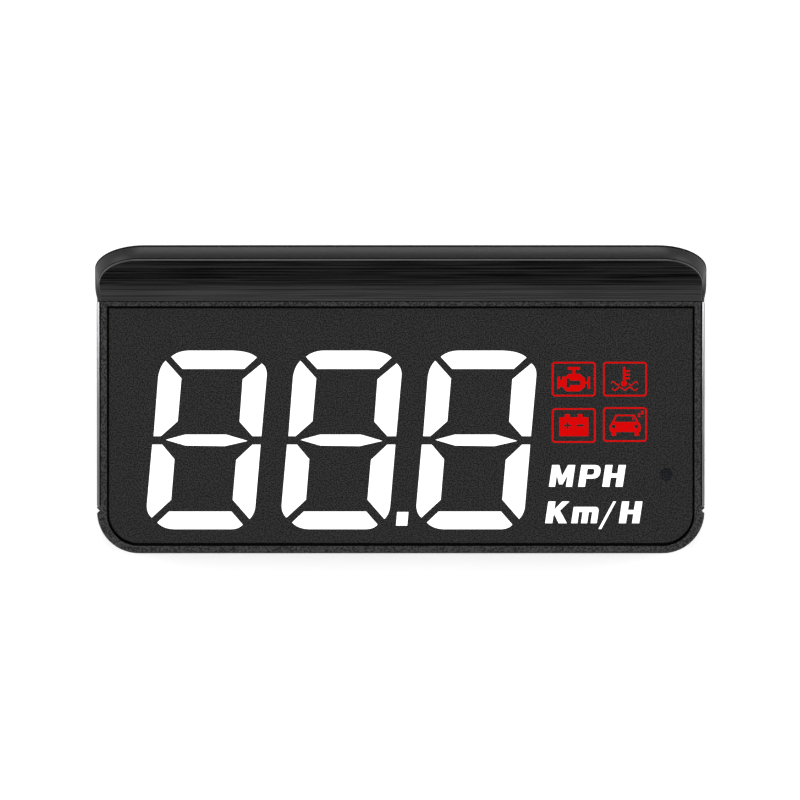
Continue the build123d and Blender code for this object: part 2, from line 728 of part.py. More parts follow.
# ---- slide switch: the knob stands at the off end and travels towards +X ----
switch_back = 13.7
switch_front = 17.3
knob_x = switch_x - switch_travel / 2
knob_width = 2.4
knob_height = 1.5
knob_tip = 20.3
with BuildPart() as switch_body:
    with Locations((switch_x, switch_back, board_top)):
        Box(8.6, switch_front - switch_back, 3.8, align=(Align.CENTER, Align.MIN, Align.MIN))
    chamfer(switch_body.edges().group_by(Axis.Z)[-1], 0.15)
    with Locations((switch_x, switch_front, control_height)):
        Box(4.9, 4.4, 1.9, mode=Mode.SUBTRACT)
finish(switch_body, "switch_body")

with BuildPart() as switch_knob:
    with Locations((knob_x, switch_front - 1.9, control_height)):
        Box(knob_width, knob_tip - switch_front + 1.9, knob_height,
            align=(Align.CENTER, Align.MIN, Align.CENTER))
    fillet(switch_knob.edges().group_by(Axis.Y)[-1], 0.25)
    with Locations((knob_x, knob_tip, control_height)):
        with GridLocations(0.6, 0, 3, 1):
            Box(0.22, 0.4, 3.0, mode=Mode.SUBTRACT)
finish(switch_knob, "switch_knob")

# ---- rocking and pressing key: body, pressed carrier and the tilting key on its pin ----
key_body_back = 13.4
key_body_front = 17.3
carrier_back = 14.6
carrier_front = 17.0
hub_radius = 0.8
pin_radius = 0.4
key_reach = 20.1
paddle_tip = 21.3
with BuildPart() as key_body:
    with Locations((key_x, key_body_back, board_top)):
        Box(9.4, key_body_front - key_body_back, 3.9, align=(Align.CENTER, Align.MIN, Align.MIN))
    chamfer(key_body.edges().group_by(Axis.Z)[-1], 0.15)
    with Locations((key_x, carrier_back - 0.6, control_height)):
        Box(5.2, 4.0, 3.0, align=(Align.CENTER, Align.MIN, Align.CENTER), mode=Mode.SUBTRACT)
finish(key_body, "key_body")

with BuildPart() as key_carrier:
    with Locations((key_x, carrier_back, control_height)):
        Box(4.8, carrier_front - carrier_back, 2.7, align=(Align.CENTER, Align.MIN, Align.CENTER))
    with Locations((key_x, carrier_back + 0.35, control_height)):
        Box(5.0, 3.0, 1.5, align=(Align.CENTER, Align.MIN, Align.CENTER), mode=Mode.SUBTRACT)
    with Locations((key_x, key_pivot_y, control_height)):
        Cylinder(pin_radius, 2.0)
finish(key_carrier, "key_carrier")

with BuildPart() as snap_dome:
    with Locations((key_x, carrier_back - 0.6, control_height)):
        Box(2.4, 0.12, 2.0, align=(Align.CENTER, Align.MIN, Align.CENTER))
finish(snap_dome, "snap_dome")

with BuildPart() as tilt_key:
    with BuildSketch(Plane.XY.offset(control_height - 0.65)):
        with Locations((key_x, key_pivot_y)):
            Circle(hub_radius)
        with Locations((key_x, (key_pivot_y + key_reach) / 2 + 0.2)):
            Rectangle(1.5, key_reach - key_pivot_y + 0.2)
        with Locations((key_x, key_pivot_y)):
            Circle(pin_radius + 0.05, mode=Mode.SUBTRACT)
    extrude(amount=1.3)
    with BuildSketch(Plane.XY.offset(control_height - 1.1)):
        with Locations((key_x, (key_reach + paddle_tip) / 2)):
            RectangleRounded(6.6, paddle_tip - key_reach, 0.55)
    extrude(amount=2.2)
    with Locations((key_x, paddle_tip, control_height)):
        with GridLocations(0.7, 0, 3, 1):
            Box(0.25, 0.4, 3.0, mode=Mode.SUBTRACT)
finish(tilt_key, "tilt_key")

# ---- screws ----
head_height = 1.0
recess_width = 0.45

with BuildPart() as case_screws:
    with Locations(*[(x, y, base_bottom + 1.4) for x, y in post_places]):
        Cylinder(1.75, head_height, align=(Align.CENTER, Align.CENTER, Align.MAX))
        Cylinder(screw_radius, 6.0, align=(Align.CENTER, Align.CENTER, Align.MIN))
    fillet(case_screws.edges().group_by(Axis.Z)[0], 0.3)
    with Locations(*[(x, y, base_bottom + 0.4) for x, y in post_places]):
        Box(2.0, recess_width, 0.5, align=(Align.CENTER, Align.CENTER, Align.MIN), mode=Mode.SUBTRACT)
        Box(recess_width, 2.0, 0.5, align=(Align.CENTER, Align.CENTER, Align.MIN), mode=Mode.SUBTRACT)
finish(case_screws, "case_screws")

with BuildPart() as board_screws:
    with Locations(*[(x, y, board_top) for x, y in board_screw_places]):
        Cylinder(1.7, head_height, align=(Align.CENTER, Align.CENTER, Align.MIN))
        Cylinder(screw_radius, 2.7, align=(Align.CENTER, Align.CENTER, Align.MAX))
    with Locations(*[(x, y, board_top + head_height) for x, y in board_screw_places]):
        Box(2.0, recess_width, 0.5, align=(Align.CENTER, Align.CENTER, Align.MAX), mode=Mode.SUBTRACT)
        Box(recess_width, 2.0, 0.5, align=(Align.CENTER, Align.CENTER, Align.MAX), mode=Mode.SUBTRACT)
finish(board_screws, "board_screws")

# ---- sun hood ----
scoop_centre_y = hood_front - scoop_radius * sin(radians(scoop_start_angle))
scoop_centre_z = case_top + scoop_radius * cos(radians(scoop_start_angle))
scoop_end = scoop_centre_y + sqrt(scoop_radius ** 2 - (scoop_centre_z - hood_top) ** 2)
scoop_middle = (hood_front + scoop_end) / 2 + 0.9
corner_middle_y = corner_start + (scoop_end - corner_start) * sin(radians(45))
corner_middle_x = hood_half_width - corner_width * (1 - cos(radians(45)))


def scoop_height(y):
    """Height of the scooped face at a distance y towards the windscreen."""
    return scoop_centre_z - sqrt(scoop_radius ** 2 - (y - scoop_centre_y) ** 2)


with BuildPart() as sun_hood:
    with BuildSketch(Plane.YZ):
        with BuildLine():
            Polyline((hood_foot, hood_seat), (hood_front, hood_seat), (hood_front, case_top))
            ThreePointArc((hood_front, case_top), (scoop_middle, scoop_height(scoop_middle)),
                          (scoop_end, hood_top))
            Line((scoop_end, hood_top), (hood_rear - rim_round, hood_top))
            TangentArc((hood_rear - rim_round, hood_top), (hood_rear, hood_top - rim_round), tangent=(1, 0))
            TangentArc((hood_rear, hood_top - rim_round), (hood_foot, hood_seat), tangent=(0, -1))
        make_face()
    extrude(amount=hood_half_width + 5, both=True)
    with BuildSketch(Plane.XZ):
        with BuildLine():
            Line((0, hood_seat), (hood_seam_half_width, hood_seat))
            Spline((hood_seam_half_width, hood_seat), (hood_half_width, scoop_height(corner_start)),
                   (corner_middle_x, scoop_height(corner_middle_y)),
                   (hood_half_width - corner_width, hood_top),
                   tangents=((0.1, 1), (-1, 0)))
            Polyline((hood_half_width - corner_width, hood_top), (0, hood_top), (0, hood_seat))
        make_face()
        mirror(about=Plane.YZ)
    extrude(amount=hood_rear + 5, both=True, mode=Mode.INTERSECT)
    with BuildSketch(Plane.XY):
        with BuildLine():
            Polyline((0, hood_front - 4), (hood_seam_half_width, hood_front - 4),
                     (hood_seam_half_width, hood_front), (hood_half_width, hood_front + 2.3),
                     (hood_half_width, hood_rear - plan_corner_depth))
            EllipticalCenterArc((hood_half_width - plan_corner_width, hood_rear - plan_corner_depth),
                                plan_corner_width, plan_corner_depth, start_angle=0, arc_size=90)
            Polyline((hood_half_width - plan_corner_width, hood_rear), (0, hood_rear), (0, hood_front - 4))
        make_face()
        mirror(about=Plane.YZ)
    extrude(amount=hood_top + 5, mode=Mode.INTERSECT)
    scoop_face = sun_hood.faces().filter_by(GeomType.CYLINDER)
    scoop_face = scoop_face.filter_by(lambda face: face.normal_at(None).Y < 0)
    fillet(scoop_face.edges().filter_by(lambda edge: edge.center().Z > case_top + 0.01), 0.2)
    with Locations(*[(x, y, hood_seat - 1.0) for x, y in peg_places]):
        Cylinder(1.0, 1.2, align=(Align.CENTER, Align.CENTER, Align.MIN))
finish(sun_hood, "sun_hood")
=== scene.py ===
"""Finished look of a dashboard head-up speed display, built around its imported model.

Metres, +Z up with the dashboard at z = 0, the driver at -Y, the windscreen at +Y. Sizes written as a number
times MM are millimetres.
"""
import math

import bmesh
import bpy
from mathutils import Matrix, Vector


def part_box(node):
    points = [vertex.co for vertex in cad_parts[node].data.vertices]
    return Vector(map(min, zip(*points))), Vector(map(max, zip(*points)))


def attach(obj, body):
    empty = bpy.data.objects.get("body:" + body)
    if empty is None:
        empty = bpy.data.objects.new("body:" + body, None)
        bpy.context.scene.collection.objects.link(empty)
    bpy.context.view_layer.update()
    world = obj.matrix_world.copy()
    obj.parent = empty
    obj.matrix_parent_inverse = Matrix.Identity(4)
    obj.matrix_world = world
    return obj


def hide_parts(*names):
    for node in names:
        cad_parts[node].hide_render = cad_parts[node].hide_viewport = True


bl_info = {
    "name": "Head-up display finish",
    "version": (1, 0, 0),
    "blender": (4, 5, 0),
    "location": "View3D > Sidebar > Display",
    "description": "Builds the hood, trim, fasteners and finishes of a dashboard speed display",
    "category": "Object",
}

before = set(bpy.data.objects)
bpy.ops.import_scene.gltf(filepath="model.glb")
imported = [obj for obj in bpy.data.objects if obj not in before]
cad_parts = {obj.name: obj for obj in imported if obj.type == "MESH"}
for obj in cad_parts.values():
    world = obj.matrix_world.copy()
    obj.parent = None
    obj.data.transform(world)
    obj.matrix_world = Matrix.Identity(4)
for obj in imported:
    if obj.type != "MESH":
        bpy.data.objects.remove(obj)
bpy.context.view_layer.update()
MM = 0.001
HOUSING = "housing"
WHITE = (1.0, 1.0, 1.0, 1.0)


def linear(hex_colour):
    """Linear RGBA of an sRGB hex colour."""
    channels = [int(hex_colour[i:i + 2], 16) / 255 for i in (0, 2, 4)]
    return tuple(c / 12.92 if c <= 0.04045 else ((c + 0.055) / 1.055) ** 2.4 for c in channels) + (1.0,)


# ---- settings ----

class HoodSettings(bpy.types.PropertyGroup):
    """Shape of the sun hood."""
    scoop_rise: bpy.props.FloatProperty(
        name="Scoop rise", description="Height of the hollow inner face", default=5.38 * MM, unit="LENGTH")
    scoop_start: bpy.props.FloatProperty(
        name="Scoop start", description="Slope of the inner face at the seam with the case",
        default=math.radians(8), subtype="ANGLE")
    rim_drop: bpy.props.FloatProperty(
        name="Rim drop", description="How far the top rim falls towards the windscreen",
        default=0.5 * MM, unit="LENGTH")
    rib_places: bpy.props.IntProperty(
        name="Rib places", description="Number of places for moulded lines up the inner face",
        default=44, min=2)
    rib_share: bpy.props.FloatProperty(
        name="Ribs kept", description="Share of the places that have a line",
        default=0.6, min=0, max=1, subtype="FACTOR")
    rib_radius: bpy.props.FloatProperty(
        name="Rib radius", description="Radius of the largest moulded line",
        default=0.045 * MM, unit="LENGTH")
    rib_seed: bpy.props.IntProperty(
        name="Rib seed", description="Seed for the uneven spacing and size of the lines", default=4)


class FinishSettings(bpy.types.PropertyGroup):
    """Colours of the visible finishes."""
    case_colour: bpy.props.FloatVectorProperty(
        name="Case plastic", description="Pigment of the case", default=linear("262626"),
        size=4, subtype="COLOR", min=0, max=1)
    hood_colour: bpy.props.FloatVectorProperty(
        name="Hood plastic", description="Pigment of the hood", default=linear("1e1e1e"),
        size=4, subtype="COLOR", min=0, max=1)
    panel_colour: bpy.props.FloatVectorProperty(
        name="Panel ink", description="Ink of the display panel", default=linear("1a1a1a"),
        size=4, subtype="COLOR", min=0, max=1)
    # the hood's inner face starts from this colour at the seam and is painted darker towards the rim as
    # painted shade
    scoop_colour: bpy.props.FloatVectorProperty(
        name="Scoop plastic", description="Pigment of the hood's inner face", default=linear("3a3a3a"),
        size=4, subtype="COLOR", min=0, max=1)
    figure_colour: bpy.props.FloatVectorProperty(
        name="Figures", description="Light of the digits and unit labels", default=linear("ffffff"),
        size=4, subtype="COLOR", min=0, max=1)
    warning_colour: bpy.props.FloatVectorProperty(
        name="Warning signs", description="Light of the warning signs", default=linear("da0000"),
        size=4, subtype="COLOR", min=0, max=1)
    figure_light: bpy.props.FloatProperty(
        name="Figure brightness", description="Strength of the lit figures", default=1.0, min=0)
    grain_size: bpy.props.FloatProperty(
        name="Plastic grain", description="Size of the pits that the moulding tool leaves",
        default=0.19 * MM, unit="LENGTH")


class TrimSettings(bpy.types.PropertyGroup):
    """Shape of the side trim strips, the feet and the screws."""
    strip_tilt: bpy.props.FloatProperty(
        name="Strip tilt", description="How far the upper face of a strip falls outwards near the hood",
        default=0.09 * MM, unit="LENGTH")
    tread_radius: bpy.props.FloatProperty(
        name="Foot tread", description="Radius of the ridges under a foot",
        default=0.25 * MM, unit="LENGTH")
    tread_pitch: bpy.props.FloatProperty(
        name="Tread pitch", description="Distance between two ridges", default=0.85 * MM, unit="LENGTH")
    recess_depth: bpy.props.FloatProperty(
        name="Screw recess", description="Depth of the cross recess of a screw",
        default=0.6 * MM, unit="LENGTH")


class StageSettings(bpy.types.PropertyGroup):
    """Camera, lights and floor."""
    camera_height: bpy.props.FloatProperty(
        name="Camera height", description="Height of the camera over the dashboard",
        default=1.3, unit="LENGTH")
    lens: bpy.props.FloatProperty(
        name="Lens", description="Focal length in millimetres", default=393.8, min=1)
    light_power: bpy.props.FloatProperty(
        name="Light power", description="Power of each soft box", default=1.9, unit="POWER")
    table_glow: bpy.props.FloatProperty(
        name="Table glow", description="Light that the table gives off from below", default=0.5, min=0)
    sky: bpy.props.FloatProperty(
        name="Sky", description="Strength of the even light from all round", default=0.3, min=0)


# ---- node and mesh helpers ----

def feed(tree, node, sockets):
    """Set a node's sockets, or link them from other sockets."""
    for name, value in sockets.items():
        if isinstance(value, bpy.types.NodeSocket):
            tree.links.new(value, node.inputs[name])
        else:
            node.inputs[name].default_value = value


def add_node(tree, kind, sockets=None, **settings):
    """Add a node with its settings, socket values and links."""
    node = tree.nodes.new(kind)
    for name, value in settings.items():
        setattr(node, name, value)
    feed(tree, node, sockets or {})
    return node


def start_material(name, finish):
    """New material with a Principled shader; finish holds what is the same all over it."""
    material = bpy.data.materials.new(name)
    material.use_nodes = True
    tree = material.node_tree
    tree.nodes.clear()
    shader = add_node(tree, "ShaderNodeBsdfPrincipled", finish)
    add_node(tree, "ShaderNodeOutputMaterial", {"Surface": shader.outputs["BSDF"]})
    place = add_node(tree, "ShaderNodeTexCoord").outputs["Object"]
    return material, tree, shader, place


def grain(tree, place, size, stretch=(1, 1, 1), detail=2.0, softness=0.2):
    """Uneven pattern from 0 to 1 whose marks are about size across, longer where stretch is above 1."""
    scale = Vector([1 / (size * s) for s in stretch])
    laid = add_node(tree, "ShaderNodeVectorMath", {0: place, 1: scale}, operation="MULTIPLY").outputs[0]
    noise = add_node(tree, "ShaderNodeTexNoise", {"Vector": laid, "Scale": 1.0, "Detail": detail})
    return add_node(tree, "ShaderNodeMapRange", {
        "Value": noise.outputs[0], "From Min": 0.5 - softness, "From Max": 0.5 + softness}).outputs[0]


def dress(tree, shader, marks, dark, light, roughness, depth=0.0, colour="Base Color"):
    """Let colour, gloss and relief follow the same marks; dark and light are colours or sockets."""
    feed(tree, shader, {
        colour: add_node(tree, "ShaderNodeMix", {0: marks, 6: dark, 7: light}, data_type="RGBA").outputs[2],
        "Roughness": add_node(tree, "ShaderNodeMapRange", {
            "Value": marks, "To Min": roughness[0], "To Max": roughness[1]}).outputs[0]})
    if depth:
        feed(tree, shader, {"Normal": add_node(tree, "ShaderNodeBump", {
            "Height": marks, "Distance": depth, "Strength": 0.6}).outputs["Normal"]})


def shade(colour, factor):
    """The same colour, lighter or darker."""
    return tuple(min(1.0, c * factor) for c in colour[:3]) + (1.0,)


def skin(loops, start=0, ends=True):
    """Faces between closed loops of points numbered from start, with the first and last loop closed."""
    wide = len(loops[0])
    faces = []
    for row in range(start, start + (len(loops) - 1) * wide, wide):
        for c in range(wide):
            after = (c + 1) % wide
            faces.append((row + c, row + after, row + wide + after, row + wide + c))
    if ends:
        last = start + (len(loops) - 1) * wide
        faces += [tuple(range(start, start + wide)), tuple(range(last, last + wide))]
    return faces


def closed_mesh(name, points, faces, marks=None, sharp=32):
    """Mesh from points in metres, merged, with faces outwards; marks holds each face's material index."""
    mesh = bpy.data.meshes.new(name)
    mesh.from_pydata(points, [], faces)
    if marks:
        mesh.polygons.foreach_set("material_index", marks)
    clean(mesh, sharp)
    return mesh


def clean(mesh, sharp):
    """Merge doubles, point the faces outwards, and shade smoothly up to the sharp angle in degrees."""
    shape = bmesh.new()
    shape.from_mesh(mesh)
    bmesh.ops.remove_doubles(shape, verts=shape.verts, dist=0.002 * MM)
    bmesh.ops.recalc_face_normals(shape, faces=shape.faces)
    shape.to_mesh(mesh)
    shape.free()
    mesh.shade_smooth()
    mesh.set_sharp_from_angle(angle=math.radians(sharp))


def new_object(name, mesh):
    """Object at the origin that holds the mesh."""
    piece = bpy.data.objects.new(name, mesh)
    bpy.context.scene.collection.objects.link(piece)
    return piece


def settle(piece, materials, body=HOUSING, replaced=()):
    """Give a finished piece its materials and its body, and hide the CAD parts that it replaces."""
    if len(piece.data.materials):
        piece.data.materials.clear()
    for material in materials:
        piece.data.materials.append(material)
    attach(piece, body)
    if replaced:
        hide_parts(*replaced)


def freeze(piece, name):
    """Plain mesh object with what the piece's modifiers make; the piece itself is removed."""
    bpy.context.view_layer.update()
    shape = piece.evaluated_get(bpy.context.evaluated_depsgraph_get())
    mesh = bpy.data.meshes.new_from_object(shape)
    mesh.name = name
    bpy.data.objects.remove(piece)
    return new_object(name, mesh)


def start_tree(name, inputs):
    """Geometry Nodes tree with a geometry input and named inputs; inputs maps a name to its socket type."""
    tree = bpy.data.node_groups.new(name, "GeometryNodeTree")
    tree.interface.new_socket("Geometry", in_out="INPUT", socket_type="NodeSocketGeometry")
    for label, kind in inputs.items():
        tree.interface.new_socket(label, in_out="INPUT", socket_type=kind)
    tree.interface.new_socket("Geometry", in_out="OUTPUT", socket_type="NodeSocketGeometry")
    return tree, add_node(tree, "NodeGroupInput").outputs


def end_tree(tree, instances, material):
    """Make the instances real, give them their material, and hand them out."""
    real = add_node(tree, "GeometryNodeRealizeInstances", {"Geometry": instances}).outputs[0]
    painted = add_node(tree, "GeometryNodeSetMaterial", {"Geometry": real, "Material": material}).outputs[0]
    add_node(tree, "NodeGroupOutput", {"Geometry": painted})


def grow(name, tree, points, values, path=False):
    """Run a tree on loose points, or on a path through them, and return the plain mesh object it makes."""
    mesh = bpy.data.meshes.new(name + "_points")
    mesh.from_pydata(points, [(k, k + 1) for k in range(len(points) - 1)] if path else [], [])
    base = new_object(name + "_base", mesh)
    modifier = base.modifiers.new("grow", "NODES")
    modifier.node_group = tree
    sockets = {item.name: item.identifier for item in tree.interface.items_tree if item.in_out == "INPUT"}
    for label, value in values.items():
        modifier[sockets[label]] = value
    return freeze(base, name)


# ---- materials ----

FINISHES = {}


def finish(name, make):
    """The material of that name, made once."""
    if name not in FINISHES:
        FINISHES[name] = make()
    return FINISHES[name]


def spark_eroded_abs():
    """ABS moulded against a spark-eroded tool: matt, evenly pitted, with no clear reflection.

    Real pits are about half this size; they are drawn larger so that they show.
    """
    looks = bpy.context.scene.hud_finish
    material, tree, shader, place = start_material(
        "spark_eroded_abs", {"IOR": 1.53, "Specular IOR Level": 0.3})
    handling = grain(tree, place, 6 * MM)
    light = add_node(tree, "ShaderNodeMix", {
        0: handling, 6: shade(looks.case_colour, 2.05), 7: shade(looks.case_colour, 2.4)}, data_type="RGBA")
    pits = grain(tree, place, looks.grain_size, detail=0.0, softness=0.05)
    dress(tree, shader, pits, shade(looks.case_colour, 0.15), light.outputs[2], (0.5, 0.62), 0.02 * MM)
    return material


def satin_abs():
    """ABS from a finely blasted tool: a soft broad sheen that runs along the rim."""
    looks = bpy.context.scene.hud_finish
    material, tree, shader, place = start_material("satin_abs", {"IOR": 1.53, "Specular IOR Level": 0.38})
    blast = grain(tree, place, 0.16 * MM, (2, 1, 1))
    dress(tree, shader, blast, shade(looks.hood_colour, 0.7), shade(looks.hood_colour, 1.1), (0.37, 0.47),
          0.006 * MM)
    return material


def brushed_abs_painted_shade():
    """ABS moulded against a brushed tool: fine lines along the hood, with painted shade that darkens the
    face and its lines towards the rim.
    """
    looks = bpy.context.scene.hud_finish
    material, tree, shader, place = start_material("brushed_abs_painted_shade", {"IOR": 1.53, "Specular IOR Level": 0.06})
    low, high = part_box("upper_case")[1].z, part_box("sun_hood")[1].z
    # painted shade: both colours of the lines, dark and light, darken with height from the seam towards the
    # rim
    depth = add_node(tree, "ShaderNodeMapRange", {
        "Value": add_node(tree, "ShaderNodeSeparateXYZ", {0: place}).outputs["Z"],
        "From Min": low, "From Max": low + 0.32 * (high - low)}, interpolation_type="SMOOTHSTEP").outputs[0]
    dark = add_node(tree, "ShaderNodeMix", {
        0: depth, 6: shade(looks.scoop_colour, 0.6), 7: shade(looks.scoop_colour, 0.01)}, data_type="RGBA")
    light = add_node(tree, "ShaderNodeMix", {
        0: depth, 6: shade(looks.scoop_colour, 1.45), 7: shade(looks.scoop_colour, 0.68)}, data_type="RGBA")
    long_lines = grain(tree, place, 0.23 * MM, (900, 1, 7), 0.0, 0.06)
    short_lines = grain(tree, place, 0.21 * MM, (55, 1, 7), 0.0, 0.08)
    lines = add_node(tree, "ShaderNodeMix", {0: 0.4, 2: long_lines, 3: short_lines}).outputs[0]
    dress(tree, shader, lines, dark.outputs[2], light.outputs[2], (0.45, 0.6), 0.02 * MM)
    return material


def painted_highlight_abs():
    """The hood's ABS along its lip, painted paler as a painted highlight and shinier than the rest."""
    looks = bpy.context.scene.hud_finish
    material, tree, shader, place = start_material("painted_highlight_abs", {"IOR": 1.53})
    highlight_streaks = grain(tree, place, 0.5 * MM, (8, 1, 1))
    dress(tree, shader, highlight_streaks, shade(looks.hood_colour, 3.8), shade(looks.hood_colour, 5.0), (0.3, 0.4))
    return material


def anodised_aluminium():
    """Rolled and grey-anodised aluminium strip: bright and satin, with drawing lines along it."""
    material, tree, shader, place = start_material("anodised_aluminium", {"Metallic": 1.0})
    lines = grain(tree, place, 0.05 * MM, (1, 160, 1), 3.0)
    dress(tree, shader, lines, linear("8f9093"), linear("b4b5b8"), (0.26, 0.4), 0.004 * MM)
    return material


def grained_panel():
    """Polycarbonate panel with a fine-grained matt ink: dark, faintly mottled, with no mirror image.

    The grain of the ink is finer than this; it is drawn larger so that it shows.
    """
    looks = bpy.context.scene.hud_finish
    material, tree, shader, place = start_material(
        "grained_panel", {"IOR": 1.58, "Specular IOR Level": 0.22})
    clouds = grain(tree, place, 3.0 * MM)
    light = add_node(tree, "ShaderNodeMix", {
        0: clouds, 6: shade(looks.panel_colour, 2.1), 7: shade(looks.panel_colour, 2.4)}, data_type="RGBA")
    specks = grain(tree, place, 0.18 * MM, detail=0.0, softness=0.04)
    dress(tree, shader, specks, shade(looks.panel_colour, 0.04), light.outputs[2], (0.46, 0.6), 0.012 * MM)
    return material


def painted_shade_black():
    """Rough near-black material that returns hardly any light, used as painted shade in the hood's crease
    and along its outer edge, in the joint beside each side strip and in the gap round the panel.
    """
    material, tree, shader, place = start_material("painted_shade_black", {"Specular IOR Level": 0.1})
    dress(tree, shader, grain(tree, place, 0.12 * MM), linear("050505"), linear("0d0d0d"), (0.85, 0.95))
    return material


def lit_acrylic(name, light, body):
    """Opal acrylic with a lamp behind it: it glows evenly, slightly less between the lamps."""
    looks = bpy.context.scene.hud_finish
    material, tree, shader, place = start_material(
        name, {"Base Color": body, "IOR": 1.49, "Specular IOR Level": 0.05,
               "Emission Strength": looks.figure_light})
    dress(tree, shader, grain(tree, place, 2.4 * MM), shade(light, 0.93), light, (0.45, 0.6),
          colour="Emission Color")
    return material


def tinted_acrylic():
    """Smoke-blue acrylic window: clear enough to show the sensor under it, with hardly a reflection."""
    material, tree, shader, place = start_material(
        "tinted_acrylic", {"IOR": 1.49, "Transmission Weight": 1.0, "Specular IOR Level": 0.03})
    dress(tree, shader, grain(tree, place, 0.3 * MM), linear("64768a"), linear("6e8196"), (0.04, 0.1))
    return material


def speckled(name, dark, light, size, roughness, depth=0.01, stretch=(1, 1, 1), finish_values=None):
    """Solid material with marks of one size in millimetres: two colours, roughness, and their depth."""
    material, tree, shader, place = start_material(name, finish_values or {})
    dress(tree, shader, grain(tree, place, size * MM, stretch), linear(dark), linear(light),
          (roughness * 0.88, roughness * 1.12), depth * MM)
    return material


def solder_mask():
    """Green solder mask over copper tracks: a glossy lacquer, lighter where a track runs under it."""
    material, tree, shader, place = start_material("solder_mask", {"IOR": 1.5, "Coat Weight": 0.3})
    track_pitch = 1.18 * MM
    laid = add_node(tree, "ShaderNodeVectorMath", {0: place, "Scale": 1 / track_pitch}, operation="SCALE")
    cells = add_node(tree, "ShaderNodeTexVoronoi", {"Vector": laid.outputs[0], "Scale": 1.0},
                     distance="MANHATTAN", feature="F2").outputs["Distance"]
    waves = add_node(tree, "ShaderNodeMath", {0: cells}, operation="FRACT").outputs[0]
    tracks = add_node(tree, "ShaderNodeMath", {0: waves, 1: 0.55}, operation="GREATER_THAN").outputs[0]
    dress(tree, shader, tracks, linear("0f4a2c"), linear("1d6b3f"), (0.24, 0.32), 0.03 * MM)
    return material


def slot_materials():
    """Material of each of the record's slots."""
    looks = bpy.context.scene.hud_finish
    metal = {"Metallic": 1.0}
    return {
        "case_plastic": finish("case", spark_eroded_abs),
        "hood_plastic": finish("hood", satin_abs),
        "trim_satin_metal": finish("trim", anodised_aluminium),
        "mask_film": finish("panel", grained_panel),
        "figure_white": finish("white", lambda: lit_acrylic(
            "lit_white_acrylic", looks.figure_colour[:], linear("dcdcdc"))),
        "figure_red": finish("red", lambda: lit_acrylic(
            "lit_red_acrylic", looks.warning_colour[:], linear("300000"))),
        "window_tint": finish("window", tinted_acrylic),
        # dark alumina disc: grey-brown, dense and slightly chalky
        "sensor_ceramic": finish("alumina", lambda: speckled(
            "fired_alumina", "1a1815", "26241f", 0.15, 0.6)),
        # cadmium sulphide track: pale, with a dull sheen, so that it shows through the tinted window
        "sensor_film": finish("sensor", lambda: speckled(
            "sulphide_film", "dccdb8", "f0e6d8", 0.08, 0.4)),
        # barium-filled white polycarbonate: bright, soft, no gloss
        "reflector_white": finish("reflector", lambda: speckled(
            "filled_polycarbonate", "e2e3e2", "f2f2f0", 0.5, 0.5, finish_values={"IOR": 1.58})),
        # frosted polyester sheet: milky with a silky surface
        "diffuser_film": finish("diffuser", lambda: speckled(
            "frosted_polyester", "dfe3e6", "eff1f2", 0.12, 0.55, finish_values={"IOR": 1.6})),
        "board_green": finish("board", solder_mask),
        # epoxy-cast lamp with phosphor: yellowish and slightly grainy
        "led_package": finish("lamp", lambda: speckled(
            "phosphor_epoxy", "d8c46a", "efe3a6", 0.2, 0.3)),
        # filled moulding epoxy: charcoal, satin, with fine pits
        "chip_black": finish("chip", lambda: speckled(
            "moulding_epoxy", "17171a", "232326", 0.1, 0.5)),
        # matt tin plate: pale grey, soft metallic
        "lead_tin": finish("tin", lambda: speckled(
            "matt_tin_plate", "b9bab8", "d3d4d2", 0.12, 0.38, finish_values=metal)),
        # deep-drawn aluminium can: bright with faint drawing marks upwards
        "can_aluminium": finish("can", lambda: speckled(
            "drawn_aluminium", "c4c5c7", "dddedf", 0.06, 0.24, 0.004, (1, 1, 30), metal)),
        # nickel-plated steel sheet: warm grey, fairly bright, lightly rolled along the plug's way
        "socket_steel": finish("nickel", lambda: speckled(
            "nickel_plated_steel", "a8a49c", "c9c5bd", 0.06, 0.27, 0.004, (1, 22, 1), metal)),
        # gold flash over nickel: thin, bright, a little uneven
        "contact_gold": finish("gold", lambda: speckled(
            "gold_flash", "d1a545", "ecc769", 0.15, 0.25, 0.003, finish_values=metal)),
        # glass-filled nylon: black with faint fibre marks
        "control_plastic": finish("nylon", lambda: speckled(
            "glass_filled_nylon", "151515", "272727", 0.09, 0.48, 0.01, (5, 1, 1), {"IOR": 1.53})),
        # black zinc plate on steel: dark with a slight brown cast, worn brighter in places
        "screw_steel": finish("zinc", lambda: speckled(
            "black_zinc_plate", "1f1e1d", "4a4744", 0.3, 0.36, 0.006, finish_values=metal)),
        # silicone rubber: matt black with a dusty bloom
        "foot_rubber": finish("rubber", lambda: speckled(
            "silicone_rubber", "141414", "242423", 0.3, 0.85, 0.02, finish_values={"IOR": 1.41})),
        # sintered ferrite and thick-film ceramic: dark grey, fine-grained
        "part_ceramic": finish("ferrite", lambda: speckled(
            "sintered_ferrite", "2e2f33", "45464b", 0.1, 0.55)),
    }


# ---- sun hood ----

SIDE_ROWS, CORNER_ROWS, ACROSS = 8, 16, 72
# centre, half width and depth of the quarter ellipses that the hood's three edges follow at each corner
INNER_CORNER = (38.65 * MM, 16.9 * MM, 5.7 * MM, 3.41 * MM)
OUTER_CORNER = (37.6 * MM, 19.2 * MM, 7.4 * MM, 3.41 * MM)
FOOT_CORNER = (40.6 * MM, 17.2 * MM, 4.0 * MM, 1.75 * MM)
SEAM_INNER = 44.2 * MM
SEAM_OUTER = 44.6 * MM
# distance over which the rim's side swells out from the seam
SWELL = 2.3 * MM
# distance from the inner edge and height of the lip and of the crease behind it, in millimetres
LIP_PROFILE = ((0.0, 0.0), (0.05, 0.05), (0.12, 0.08), (0.2, 0.06), (0.26, 0.0), (0.27, -0.3), (0.38, -0.3),
               (0.39, 0.0))
